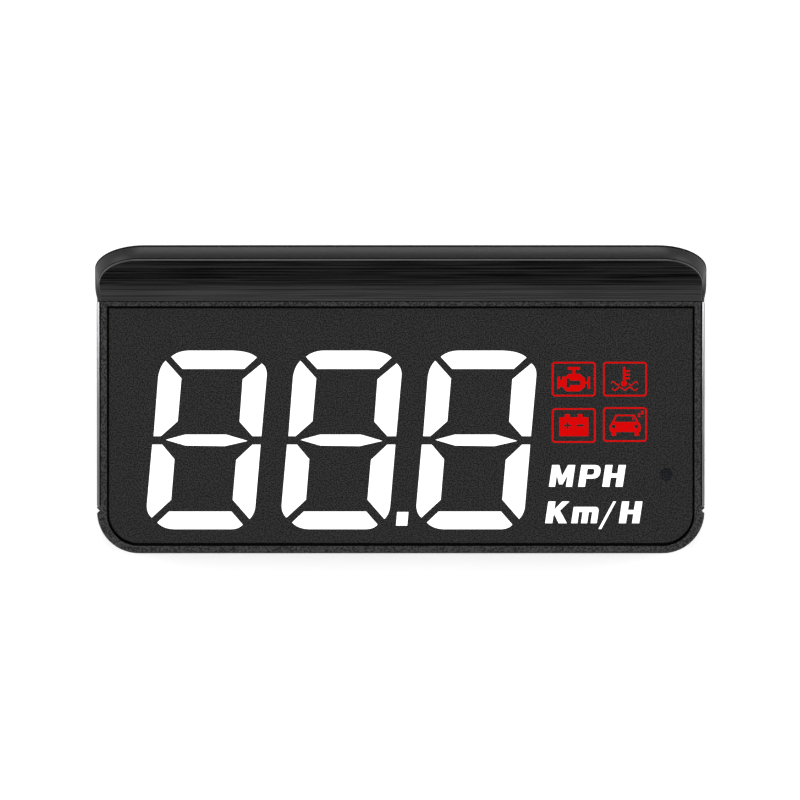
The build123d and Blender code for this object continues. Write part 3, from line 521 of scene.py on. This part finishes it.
# the lip has its full size where the rim is this wide, and shrinks with the rim down to this share
FULL_RIM, NARROWEST_LIP = 2.2 * MM, 0.4
RIM_SHARES = (0.12, 0.25, 0.4, 0.55, 0.7, 0.8, 0.87, 1.0)
# fall of the rim at the hood's sides
SIDE_DROP = 0.3 * MM
# share of the rim's width beyond which it rolls over to the back, and how far it rolls down
ROLL_START, ROLL_DROP = 0.82, 0.1 * MM
# height of the foot, and height that the back's curve is drawn towards
FOOT_Z, BACK_PULL_Z = 10.2 * MM, 10.9 * MM
BACK_STEPS = 10
# material index of each finish of the hood
SATIN, BRUSHED, PAINTED_HIGHLIGHT, PAINTED_SHADE = range(4)
# painted highlight: the lip takes the paler finish; painted shade: the crease behind it and the rim's last
# strip take the black one
RIM_MARKS = [PAINTED_HIGHLIGHT] * 4 + [PAINTED_SHADE] * 3 + [SATIN] * (len(RIM_SHARES) - 1) + [PAINTED_SHADE]


def scoop_curve(hood):
    """Function that gives the scoop's height at y: a parabola from the case's top at the seam to the lip."""
    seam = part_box("sun_hood")[0].y
    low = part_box("upper_case")[1].z
    slope = math.tan(hood.scoop_start)
    run = INNER_CORNER[1] + INNER_CORNER[3] - seam
    bend = (hood.scoop_rise - slope * run) / run ** 2
    return lambda y: low + slope * (y - seam) + bend * (y - seam) ** 2


def hood_sections():
    """Inner edge, outer edge and foot of the hood's right side, seam to top, as seen from above."""
    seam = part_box("sun_hood")[0].y
    inner_end = INNER_CORNER[0] + INNER_CORNER[2]
    outer_end = OUTER_CORNER[0] + OUTER_CORNER[2]
    sections = []
    for row in range(SIDE_ROWS):
        share = row / SIDE_ROWS
        outer_y = seam + (OUTER_CORNER[1] - seam) * share
        swell = min(1.0, (outer_y - seam) / SWELL)
        inner = (SEAM_INNER + (inner_end - SEAM_INNER) * share, seam + (INNER_CORNER[1] - seam) * share)
        outer = (SEAM_OUTER + (outer_end - SEAM_OUTER) * swell * (2 - swell), outer_y)
        foot = (SEAM_OUTER, seam + (FOOT_CORNER[1] - seam) * share)
        sections.append((inner, outer, foot))
    for row in range(CORNER_ROWS + 1):
        turn = math.pi / 2 * row / CORNER_ROWS
        sections.append(tuple((x + wide * math.cos(turn), y + deep * math.sin(turn))
                              for x, y, wide, deep in (INNER_CORNER, OUTER_CORNER, FOOT_CORNER)))
    return sections


def rim_row(inner, outer, height, drop):
    """Points from the inner edge over the lip, the crease and the rim to the outer edge."""
    width = math.dist(inner, outer)
    size = max(NARROWEST_LIP, min(1.0, width / FULL_RIM))
    steps = [(distance * size * MM, rise * size * MM) for distance, rise in LIP_PROFILE]
    start = steps[-1][0]
    for share in RIM_SHARES:
        roll = max(0.0, (share - ROLL_START) / (1 - ROLL_START))
        steps.append((start + (width - start) * share, -drop * share ** 2 - ROLL_DROP * roll ** 2))
    return [(inner[0] + (outer[0] - inner[0]) * distance / width,
             inner[1] + (outer[1] - inner[1]) * distance / width, height + rise) for distance, rise in steps]


def back_row(edge, foot):
    """Points of the back from the outer edge down to the foot, on a curve that ends upright."""
    x, y, z = edge
    row = []
    for step in range(BACK_STEPS + 1):
        share = step / BACK_STEPS
        end = share ** 2
        row.append((x + (foot[0] - x) * end, y + (foot[1] - y) * end,
                    z * (1 - share) ** 2 + BACK_PULL_Z * 2 * share * (1 - share) + FOOT_Z * end))
    return row


def hood_mesh(hood):
    """Closed shell of the hood: scooped face, rim, rounded back, foot and the end at the seam."""
    scoop = scoop_curve(hood)
    sections = hood_sections()
    spans = [1 - 2 * i / ACROSS for i in range(ACROSS + 1)]
    right = [(section, max(0.0, (k - SIDE_ROWS) / CORNER_ROWS)) for k, section in enumerate(sections)]
    ring = list(right)
    ring += [(tuple((x * span, y) for x, y in sections[-1]), 1.0) for span in spans[1:-1]]
    ring += [(tuple((-x, y) for x, y in section), share) for section, share in reversed(right)]
    rim, back = [], []
    for (inner, outer, foot), share in ring:
        rim.append(rim_row(inner, outer, scoop(inner[1]), SIDE_DROP + (hood.rim_drop - SIDE_DROP) * share))
        back.append(back_row(rim[-1][-1], foot))
    face = [[(x * span, y, scoop(y)) for span in spans] for (x, y), _, _ in sections]

    points, faces, marks = [], [], []
    # painted shade: the top strip of the back is black, a dark line along the hood's outer edge
    for rows, row_marks in ((face, [BRUSHED] * ACROSS), (rim, RIM_MARKS),
                            (back, [PAINTED_SHADE] + [SATIN] * (BACK_STEPS - 1))):
        for r in range(len(rows) - 1):
            for c, mark in enumerate(row_marks):
                corner = len(points) + r * len(rows[0]) + c
                faces.append((corner, corner + 1, corner + len(rows[0]) + 1, corner + len(rows[0])))
                marks.append(mark)
        points += [point for row in rows for point in row]
    foot_lid = [row[-1] for row in back]
    seam_lid = face[0][::-1] + rim[0][1:] + back[0][1:] + back[-1][::-1][:-1] + rim[-1][::-1][:-1]
    for lid in (foot_lid, seam_lid):
        faces.append(tuple(range(len(points), len(points) + len(lid))))
        points += lid
        marks.append(SATIN)
    return closed_mesh("sun_hood_shell", points, faces, marks, sharp=30)


# the moulded lines end this far short of the scoop's edge
RIB_INSET = 0.25 * MM


def rib_tree():
    """Thin rounded lines across the scoop from one edge to the other, unevenly spaced and sized.

    The tree follows a path up the scoop's right edge, keeps some of its points and lays a bar through each.
    """
    tree, given = start_tree("hood_ribs", {
        "Places": "NodeSocketInt", "Share kept": "NodeSocketFloat", "Seed": "NodeSocketInt",
        "Smallest radius": "NodeSocketFloat", "Largest radius": "NodeSocketFloat",
        "Material": "NodeSocketMaterial"})
    edge = add_node(tree, "GeometryNodeMeshToCurve", {"Mesh": given["Geometry"]}).outputs[0]
    places = add_node(tree, "GeometryNodeResampleCurve", {
        "Curve": edge, "Count": given["Places"]}).outputs[0]
    kept = add_node(tree, "FunctionNodeRandomValue", {
        "Probability": given["Share kept"], "Seed": given["Seed"]}, data_type="BOOLEAN").outputs[3]
    radius = add_node(tree, "FunctionNodeRandomValue", {
        2: given["Smallest radius"], 3: given["Largest radius"], "Seed": given["Seed"]},
        data_type="FLOAT").outputs[1]
    place = add_node(tree, "GeometryNodeInputPosition").outputs[0]
    half = add_node(tree, "ShaderNodeSeparateXYZ", {0: place}).outputs["X"]
    length = add_node(tree, "ShaderNodeMath", {0: half, 1: 2.0}, operation="MULTIPLY").outputs[0]
    scale = add_node(tree, "ShaderNodeCombineXYZ", {"X": length, "Y": radius, "Z": radius}).outputs[0]
    bar = add_node(tree, "GeometryNodeMeshCylinder", {
        "Vertices": 8, "Radius": 1.0, "Depth": 1.0}).outputs[0]
    bar = add_node(tree, "GeometryNodeTransform", {
        "Geometry": bar, "Translation": (-0.5, 0, 0), "Rotation": (0, math.pi / 2, 0)}).outputs[0]
    placed = add_node(tree, "GeometryNodeInstanceOnPoints", {
        "Points": places, "Selection": kept, "Instance": bar, "Scale": scale}).outputs[0]
    end_tree(tree, placed, given["Material"])
    return tree


class HUD_OT_sun_hood(bpy.types.Operator):
    """Build the sun hood and the moulded lines on its inner face"""
    bl_idname = "hud.sun_hood"
    bl_label = "Sun hood"

    def execute(self, context):
        hood = context.scene.hud_hood
        ribbed = finish("scoop", brushed_abs_painted_shade)
        shell = new_object("sun_hood_shell", hood_mesh(hood))
        # the lip's paler finish is a painted highlight, and the black finish is painted shade in the crease
        # and along the outer edge
        plastics = [finish("hood", satin_abs), ribbed, finish("lip", painted_highlight_abs)]
        settle(shell, plastics + [finish("foam", painted_shade_black)], replaced=["sun_hood"])
        scoop = scoop_curve(hood)
        edge = [(x - RIB_INSET, y, scoop(y)) for (x, y), _, _ in hood_sections()[1:-2]]
        ribs = grow("sun_hood_ribs", rib_tree(), edge, {
            "Places": hood.rib_places, "Share kept": hood.rib_share, "Seed": hood.rib_seed,
            "Smallest radius": hood.rib_radius * 0.35, "Largest radius": hood.rib_radius,
            "Material": ribbed}, path=True)
        clean(ribs.data, 50)
        settle(ribs, [ribbed])
        return {"FINISHED"}


# ---- case ----

def smooth_copy(node, name, sharp=28):
    """Merged and smoothed copy of a CAD node's mesh."""
    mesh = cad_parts[node].data.copy()
    mesh.name = name
    if mesh.has_custom_normals:
        mesh.attributes.remove(mesh.attributes["custom_normal"])
    clean(mesh, sharp)
    return new_object(name, mesh)


# half width, front, rear and corner radii of the opening in the upper case
OPENING = (43.27 * MM, -21.6 * MM, 13.7 * MM, 4.7 * MM, 0.2 * MM)
OPENING_EDGE = 0.12 * MM
PANEL_RADIUS = 4.4 * MM
SHADE_RING_HEIGHT = 0.55 * MM


def soften_opening(piece):
    """Break the sharp upper edge of the panel opening, so that it catches a thin line of light."""
    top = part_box("upper_case")[1].z
    (left, front, _), (right, rear, _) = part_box("display_mask")
    slack = 0.6 * MM

    def inside(vertex):
        return (abs(vertex.co.z - top) < 0.01 * MM and left - slack < vertex.co.x < right + slack
                and front - slack < vertex.co.y < rear + slack)

    shape = bmesh.new()
    shape.from_mesh(piece.data)
    edges = [edge for edge in shape.edges if inside(edge.verts[0]) and inside(edge.verts[1])
             and len(edge.link_faces) == 2 and edge.calc_face_angle() > math.radians(60)]
    bmesh.ops.bevel(shape, geom=edges, offset=OPENING_EDGE, segments=2, profile=0.5, affect="EDGES",
                    clamp_overlap=False)
    shape.to_mesh(piece.data)
    shape.free()


def plan_loop(half, front, rear, front_radius, rear_radius, steps=14):
    """Rounded outline seen from above, right rear corner first; the radii are its corners'."""
    loop = []
    for quarter, (x, y, radius) in enumerate(((half, rear, rear_radius), (-half, rear, rear_radius),
                                              (-half, front, front_radius), (half, front, front_radius))):
        centre = (x - math.copysign(radius, x), y - math.copysign(radius, y))
        for step in range(steps + 1):
            turn = math.pi / 2 * (quarter + step / steps)
            loop.append((centre[0] + radius * math.cos(turn), centre[1] + radius * math.sin(turn)))
    return loop


def shade_ring_mesh():
    """Black ring that fills the bottom of the gap round the panel, as painted shade that keeps the gap dark.
    """
    (_, panel_front, low), (panel_half, panel_rear, _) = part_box("display_mask")
    high = low + SHADE_RING_HEIGHT
    outer = plan_loop(*OPENING)
    inner = plan_loop(panel_half, panel_front, panel_rear, PANEL_RADIUS, OPENING[4])
    loops = [[(x, y, z) for x, y in loop] for loop, z in (
        (outer, low), (outer, high - 0.05 * MM), (inner, high), (inner, low), (outer, low))]
    return closed_mesh("panel_gasket", [point for loop in loops for point in loop], skin(loops, ends=False))


class HUD_OT_case(bpy.types.Operator):
    """Finish the upper case and the base shell in pitted plastic, and lay a black ring of painted shade in
    the gap round the panel
    """
    bl_idname = "hud.case"
    bl_label = "Case"

    def execute(self, context):
        plastic = finish("case", spark_eroded_abs)
        for node in ("upper_case", "base_shell"):
            moulding = smooth_copy(node, node + "_moulding")
            if node == "upper_case":
                soften_opening(moulding)
            settle(moulding, [plastic], replaced=[node])
        # painted shade: a black ring in the bottom of the gap round the panel
        settle(new_object("panel_gasket", shade_ring_mesh()), [finish("foam", painted_shade_black)])
        return {"FINISHED"}


# ---- trim strips ----

SHADOW_BEAD_RADIUS = 0.11 * MM
# material index of each finish of a strip; the rolled edges take black nylon as painted shade
METAL, SHADED_EDGE = range(2)


def strip_mesh(name, side, node, tilt):
    """Side strip whose narrow upper face leans outwards near the hood and lies flatter at the front."""
    low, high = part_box(node)
    inner, outer = sorted((abs(low.x), abs(high.x)))
    # distance from an end of the strip, and how far its face draws in there
    ends = [(0.0, 0.06 * MM), (0.12 * MM, 0.03 * MM), (0.35 * MM, 0.0)]
    rows = [(low.y + distance, turn) for distance, turn in ends]
    rows += [(low.y + (high.y - low.y) * k / 12, 0.0) for k in range(1, 12)]
    rows += [(high.y - distance, turn) for distance, turn in ends[::-1]]
    loops = []
    for y, turn in rows:
        share = (y - low.y) / (high.y - low.y)
        face = outer - turn + 0.03 * MM * share
        lean = tilt * (0.15 + 0.85 * share)
        round_off = (0.04 + 0.1 * share) * MM
        profile = [(inner, low.z), (face - 0.08 * MM, low.z), (face, low.z + 0.08 * MM),
                   (face, high.z - lean - 0.16 * MM), (face - 0.09 * MM, high.z - lean),
                   (inner + round_off, high.z), (inner, high.z - round_off)]
        loops.append([(side * x, y, z) for x, z in profile])
    # painted shade: the two rolled edges of the upper face take black nylon, which darkens its flanks
    side_marks = [METAL, METAL, METAL, SHADED_EDGE, METAL, SHADED_EDGE, METAL]
    marks = side_marks * (len(loops) - 1) + [METAL, METAL]
    return closed_mesh(name, [point for loop in loops for point in loop], skin(loops), marks, sharp=25)


def shadow_bead_mesh(side, node):
    """Thin black bead in the joint between the case and its side strip, as painted shade that darkens the
    joint.
    """
    low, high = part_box(node)
    centre_x = min(abs(low.x), abs(high.x)) - 0.02 * MM
    centre_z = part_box("upper_case")[1].z - 0.03 * MM
    sides = 12
    loops = []
    for y, size in ((low.y + 0.1 * MM, 0.3), (low.y + 0.3 * MM, 1.0),
                    (high.y - 0.3 * MM, 1.0), (high.y - 0.1 * MM, 0.3)):
        turns = [2 * math.pi * k / sides for k in range(sides)]
        loops.append([(side * (centre_x + SHADOW_BEAD_RADIUS * size * math.cos(turn)), y,
                       centre_z + SHADOW_BEAD_RADIUS * size * math.sin(turn)) for turn in turns])
    return closed_mesh("strip_seal", [point for loop in loops for point in loop], skin(loops))


class HUD_OT_trim_strips(bpy.types.Operator):
    """Build the bright strip on each side of the case"""
    bl_idname = "hud.trim_strips"
    bl_label = "Trim strips"

    def execute(self, context):
        tilt = context.scene.hud_trim.strip_tilt
        # black nylon on the strips' rolled edges is painted shade
        nylon = slot_materials()["control_plastic"]
        for side, node in ((-1, "left_trim_strip"), (1, "right_trim_strip")):
            name = node + "_bright"
            settle(new_object(name, strip_mesh(name, side, node, tilt)),
                   [finish("trim", anodised_aluminium), nylon], replaced=[node])
            # painted shade: a black bead darkens the joint beside the strip
            settle(new_object(node + "_seal", shadow_bead_mesh(side, node)),
                   [finish("foam", painted_shade_black)])
        return {"FINISHED"}


# ---- rubber feet ----

# places in millimetres
FOOT_PLACES = [(-33, -17), (33, -17), (-33, 13.5), (33, 13.5)]
FOOT_SIZE = (10.8 * MM, 4.3 * MM)
PAD_CORNER = 0.9 * MM
TREAD_MARGIN = (1.2 * MM, 0.7 * MM)


def pad_mesh(name, places, levels):
    """Pads with rounded corners at each place; levels holds each loop's height and how far it draws in."""
    points, faces = [], []
    for place_x, place_y in places:
        loops = []
        for z, inset in levels:
            half, deep, radius = FOOT_SIZE[0] / 2 - inset, FOOT_SIZE[1] / 2 - inset, PAD_CORNER - inset
            outline = plan_loop(half, -deep, deep, radius, radius, 6)
            loops.append([(place_x * MM + x, place_y * MM + y, z) for x, y in outline])
        faces += skin(loops, len(points))
        points += [point for loop in loops for point in loop]
    return closed_mesh(name, points, faces)


def tread_tree():
    """Tree that lays a row of rounded ridges under each foot."""
    tree, given = start_tree("foot_tread", {
        "Ridges": "NodeSocketInt", "First ridge": "NodeSocketFloat", "Pitch": "NodeSocketFloat",
        "Radius": "NodeSocketFloat", "Length": "NodeSocketFloat", "Material": "NodeSocketMaterial"})
    row = add_node(tree, "GeometryNodeMeshLine", {
        "Count": given["Ridges"],
        "Start Location": add_node(tree, "ShaderNodeCombineXYZ", {"X": given["First ridge"]}).outputs[0],
        "Offset": add_node(tree, "ShaderNodeCombineXYZ", {"X": given["Pitch"]}).outputs[0]}).outputs[0]
    bar = add_node(tree, "GeometryNodeMeshCylinder", {
        "Vertices": 16, "Radius": given["Radius"], "Depth": given["Length"]}).outputs[0]
    bar = add_node(tree, "GeometryNodeTransform", {
        "Geometry": bar, "Rotation": (math.pi / 2, 0, 0)}).outputs[0]
    tread = add_node(tree, "GeometryNodeInstanceOnPoints", {"Points": row, "Instance": bar}).outputs[0]
    tread = add_node(tree, "GeometryNodeRealizeInstances", {"Geometry": tread}).outputs[0]
    placed = add_node(tree, "GeometryNodeInstanceOnPoints", {
        "Points": given["Geometry"], "Instance": tread}).outputs[0]
    end_tree(tree, placed, given["Material"])
    return tree


class HUD_OT_rubber_feet(bpy.types.Operator):
    """Build the four rubber feet with their tread"""
    bl_idname = "hud.rubber_feet"
    bl_label = "Rubber feet"

    def execute(self, context):
        trim = context.scene.hud_trim
        rubber = slot_materials()["foot_rubber"]
        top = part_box("rubber_feet")[1].z
        radius = trim.tread_radius
        levels = [(radius, 0.15 * MM), (radius + 0.05 * MM, 0.05 * MM), (radius + 0.15 * MM, 0.0),
                  (top, 0.0)]
        pads = new_object("rubber_foot_pads", pad_mesh("rubber_foot_pads", FOOT_PLACES, levels))
        settle(pads, [rubber], replaced=["rubber_feet"])
        ridges = int((FOOT_SIZE[0] - TREAD_MARGIN[0]) / trim.tread_pitch) + 1
        places = [(x * MM, y * MM, radius) for x, y in FOOT_PLACES]
        tread = grow("rubber_foot_tread", tread_tree(), places, {
            "Ridges": ridges, "First ridge": -(ridges - 1) / 2 * trim.tread_pitch,
            "Pitch": trim.tread_pitch, "Radius": radius, "Length": FOOT_SIZE[1] - TREAD_MARGIN[1],
            "Material": rubber})
        clean(tread.data, 40)
        settle(tread, [rubber])
        return {"FINISHED"}


# ---- screws ----

# places, and the sizes of one screw, in millimetres
SCREW_PLACES = [(-40.7, -18.4), (40.7, -18.4), (-40.7, 15.0), (40.7, 15.0)]
HEAD_PROFILE = ((0.0, 0.0), (0.9, 0.0), (1.35, 0.08), (1.62, 0.24), (1.75, 0.5), (1.75, 0.86), (1.68, 1.0))
HEAD_HEIGHT, SHANK_RADIUS, THREAD, THREAD_STEPS = 1.0, 0.93, 0.22, 25
TIP_RADIUS, TIP_HEIGHT = 0.3, 7.0
CROSS_ARM, CROSS_REACH = 0.22, 1.05
SCREW_SEED = 11


def recess_cutter(depth):
    """Tapered cross that cuts the recess of a screw."""
    corner = [complex(x, y) for x, y in (
        (CROSS_ARM, CROSS_ARM), (CROSS_ARM, CROSS_REACH), (-CROSS_ARM, CROSS_REACH))]
    cross = [point * 1j ** quarter for quarter in range(4) for point in corner]
    loops = [[(point.real * size * MM, point.imag * size * MM, z) for point in cross]
             for size, z in ((1.12, -0.2 * MM), (0.62, depth))]
    points = [point for loop in loops for point in loop]
    return new_object("screw_cutter", closed_mesh("screw_cutter", points, skin(loops)))


def screw_pattern(depth):
    """One pan-head screw about the origin, head down, with a tapered cross recess and a threaded shank."""
    sides = 40
    profile = list(HEAD_PROFILE) + [(SHANK_RADIUS, HEAD_HEIGHT)]
    profile += [(SHANK_RADIUS - THREAD * (step % 2), HEAD_HEIGHT + THREAD * step)
                for step in range(1, THREAD_STEPS + 1)]
    profile += [(TIP_RADIUS, TIP_HEIGHT), (0.0, TIP_HEIGHT)]
    turns = [2 * math.pi * k / sides for k in range(sides)]
    loops = [[(radius * MM * math.cos(turn), radius * MM * math.sin(turn), z * MM) for turn in turns]
             for radius, z in profile]
    points = [point for loop in loops for point in loop]
    screw = new_object("screw_pattern", closed_mesh("screw_pattern", points, skin(loops, ends=False)))
    cutter = recess_cutter(depth)
    cut = screw.modifiers.new("recess", "BOOLEAN")
    cut.object = cutter
    cut.solver = "EXACT"
    pattern = freeze(screw, "case_screw_pattern")
    bpy.data.objects.remove(cutter)
    return pattern


def screw_tree():
    """Tree that sets a copy of one screw at each point, each turned by its own angle."""
    tree, given = start_tree("screw_set", {
        "Screw": "NodeSocketObject", "Seed": "NodeSocketInt", "Material": "NodeSocketMaterial"})
    screw = add_node(tree, "GeometryNodeObjectInfo", {
        "Object": given["Screw"], "As Instance": True}).outputs["Geometry"]
    angle = add_node(tree, "FunctionNodeRandomValue", {
        3: 6.28, "Seed": given["Seed"]}, data_type="FLOAT").outputs[1]
    turn = add_node(tree, "ShaderNodeCombineXYZ", {"Z": angle}).outputs[0]
    placed = add_node(tree, "GeometryNodeInstanceOnPoints", {
        "Points": given["Geometry"], "Instance": screw, "Rotation": turn}).outputs[0]
    end_tree(tree, placed, given["Material"])
    return tree


class HUD_OT_case_screws(bpy.types.Operator):
    """Build the four case screws"""
    bl_idname = "hud.case_screws"
    bl_label = "Case screws"

    def execute(self, context):
        pattern = screw_pattern(context.scene.hud_trim.recess_depth)
        zinc = slot_materials()["screw_steel"]
        head_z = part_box("case_screws")[0].z
        places = [(x * MM, y * MM, head_z) for x, y in SCREW_PLACES]
        screws = grow("case_screw_set", screw_tree(), places, {
            "Screw": pattern, "Seed": SCREW_SEED, "Material": zinc})
        bpy.data.objects.remove(pattern)
        clean(screws.data, 35)
        settle(screws, [zinc], replaced=["case_screws"])
        return {"FINISHED"}


# ---- everything that keeps its CAD shape ----

class HUD_OT_finishes(bpy.types.Operator):
    """Give the panel, the figures, the controls and the inner parts their materials"""
    bl_idname = "hud.finishes"
    bl_label = "Finishes"

    def execute(self, context):
        materials = slot_materials()
        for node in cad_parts.values():
            slot = node.material_slots[0].material.name.split(".")[0]
            node.material_slots[0].material = materials[slot]
        return {"FINISHED"}


# ---- stage ----

FLOOR_REACH = 4.0
LAMP_SIZE, LAMP_DISTANCE = 0.5, 0.8
# azimuth and elevation in degrees, and share of the light power
LAMPS = {"box_front": (-90, 42, 0.35), "box_right": (0, 38, 1.1), "box_back": (90, 45, 1.3),
         "box_left": (180, 38, 1.1)}
# the camera stands this far left of the middle, and as far in front of it
CAMERA_SHIFT = 0.11 * MM


class HUD_OT_stage(bpy.types.Operator):
    """Lay the pale floor and set up the soft lights and the camera"""
    bl_idname = "hud.stage"
    bl_label = "Stage"

    def execute(self, context):
        scene, stage = context.scene, context.scene.hud_stage
        mesh = bpy.data.meshes.new("floor")
        corners = ((-1, -1), (1, -1), (1, 1), (-1, 1))
        mesh.from_pydata([(x * FLOOR_REACH, y * FLOOR_REACH, 0) for x, y in corners], [], [(0, 1, 2, 3)])
        floor = new_object("floor", mesh)
        # opal acrylic light table: near white, matt, and lit faintly from below, which thins the shadows
        mesh.materials.append(speckled(
            "opal_light_table", "f0f0f0", "f4f4f4", 30.0, 0.8, 0.0,
            finish_values={"Emission Color": WHITE, "Emission Strength": stage.table_glow}))

        world = bpy.data.worlds.new("studio")
        scene.world = world
        world.use_nodes = True
        feed(world.node_tree, world.node_tree.nodes["Background"],
             {"Color": WHITE, "Strength": stage.sky})

        for name, (azimuth, elevation, share) in LAMPS.items():
            light = bpy.data.lights.new(name, "AREA")
            light.shape, light.size = "DISK", LAMP_SIZE
            light.energy = stage.light_power * share
            lamp = new_object(name, light)
            turn, lift = math.radians(azimuth), math.radians(elevation)
            away = Vector((
                math.cos(turn) * math.cos(lift), math.sin(turn) * math.cos(lift), math.sin(lift)))
            lamp.location = away * LAMP_DISTANCE
            lamp.rotation_euler = away.to_track_quat("Z", "Y").to_euler()

        camera_data = bpy.data.cameras.new("camera")
        camera_data.lens = stage.lens
        camera_data.sensor_width = 36
        camera_data.clip_start, camera_data.clip_end = 0.01, 20
        camera = new_object("camera", camera_data)
        camera.location = (-CAMERA_SHIFT, -CAMERA_SHIFT, stage.camera_height)
        scene.camera = camera
        scene.view_settings.view_transform = "Standard"
        return {"FINISHED"}


# ---- panel and registration ----

OPERATORS = (HUD_OT_stage, HUD_OT_sun_hood, HUD_OT_case, HUD_OT_trim_strips, HUD_OT_rubber_feet,
             HUD_OT_case_screws, HUD_OT_finishes)
SETTINGS = {"hud_hood": HoodSettings, "hud_finish": FinishSettings, "hud_trim": TrimSettings,
            "hud_stage": StageSettings}


class HUD_PT_display(bpy.types.Panel):
    """Sidebar panel with the settings and the steps"""
    bl_idname = "HUD_PT_display"
    bl_label = "Head-up display"
    bl_space_type = "VIEW_3D"
    bl_region_type = "UI"
    bl_category = "Display"

    def draw(self, context):
        for name, group in SETTINGS.items():
            box = self.layout.box()
            for setting in group.__annotations__:
                box.prop(getattr(context.scene, name), setting)
        for operator in OPERATORS:
            self.layout.operator(operator.bl_idname)


def register():
    for group in (*SETTINGS.values(), *OPERATORS, HUD_PT_display):
        bpy.utils.register_class(group)
    for name, group in SETTINGS.items():
        setattr(bpy.types.Scene, name, bpy.props.PointerProperty(type=group))


def unregister():
    for name in SETTINGS:
        delattr(bpy.types.Scene, name)
    for group in reversed((*SETTINGS.values(), *OPERATORS, HUD_PT_display)):
        bpy.utils.unregister_class(group)


def main():
    """Register the add-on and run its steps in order."""
    register()
    for operator in OPERATORS:
        getattr(bpy.ops.hud, operator.bl_idname.split(".")[1])()


if __name__ == "__main__":
    main()
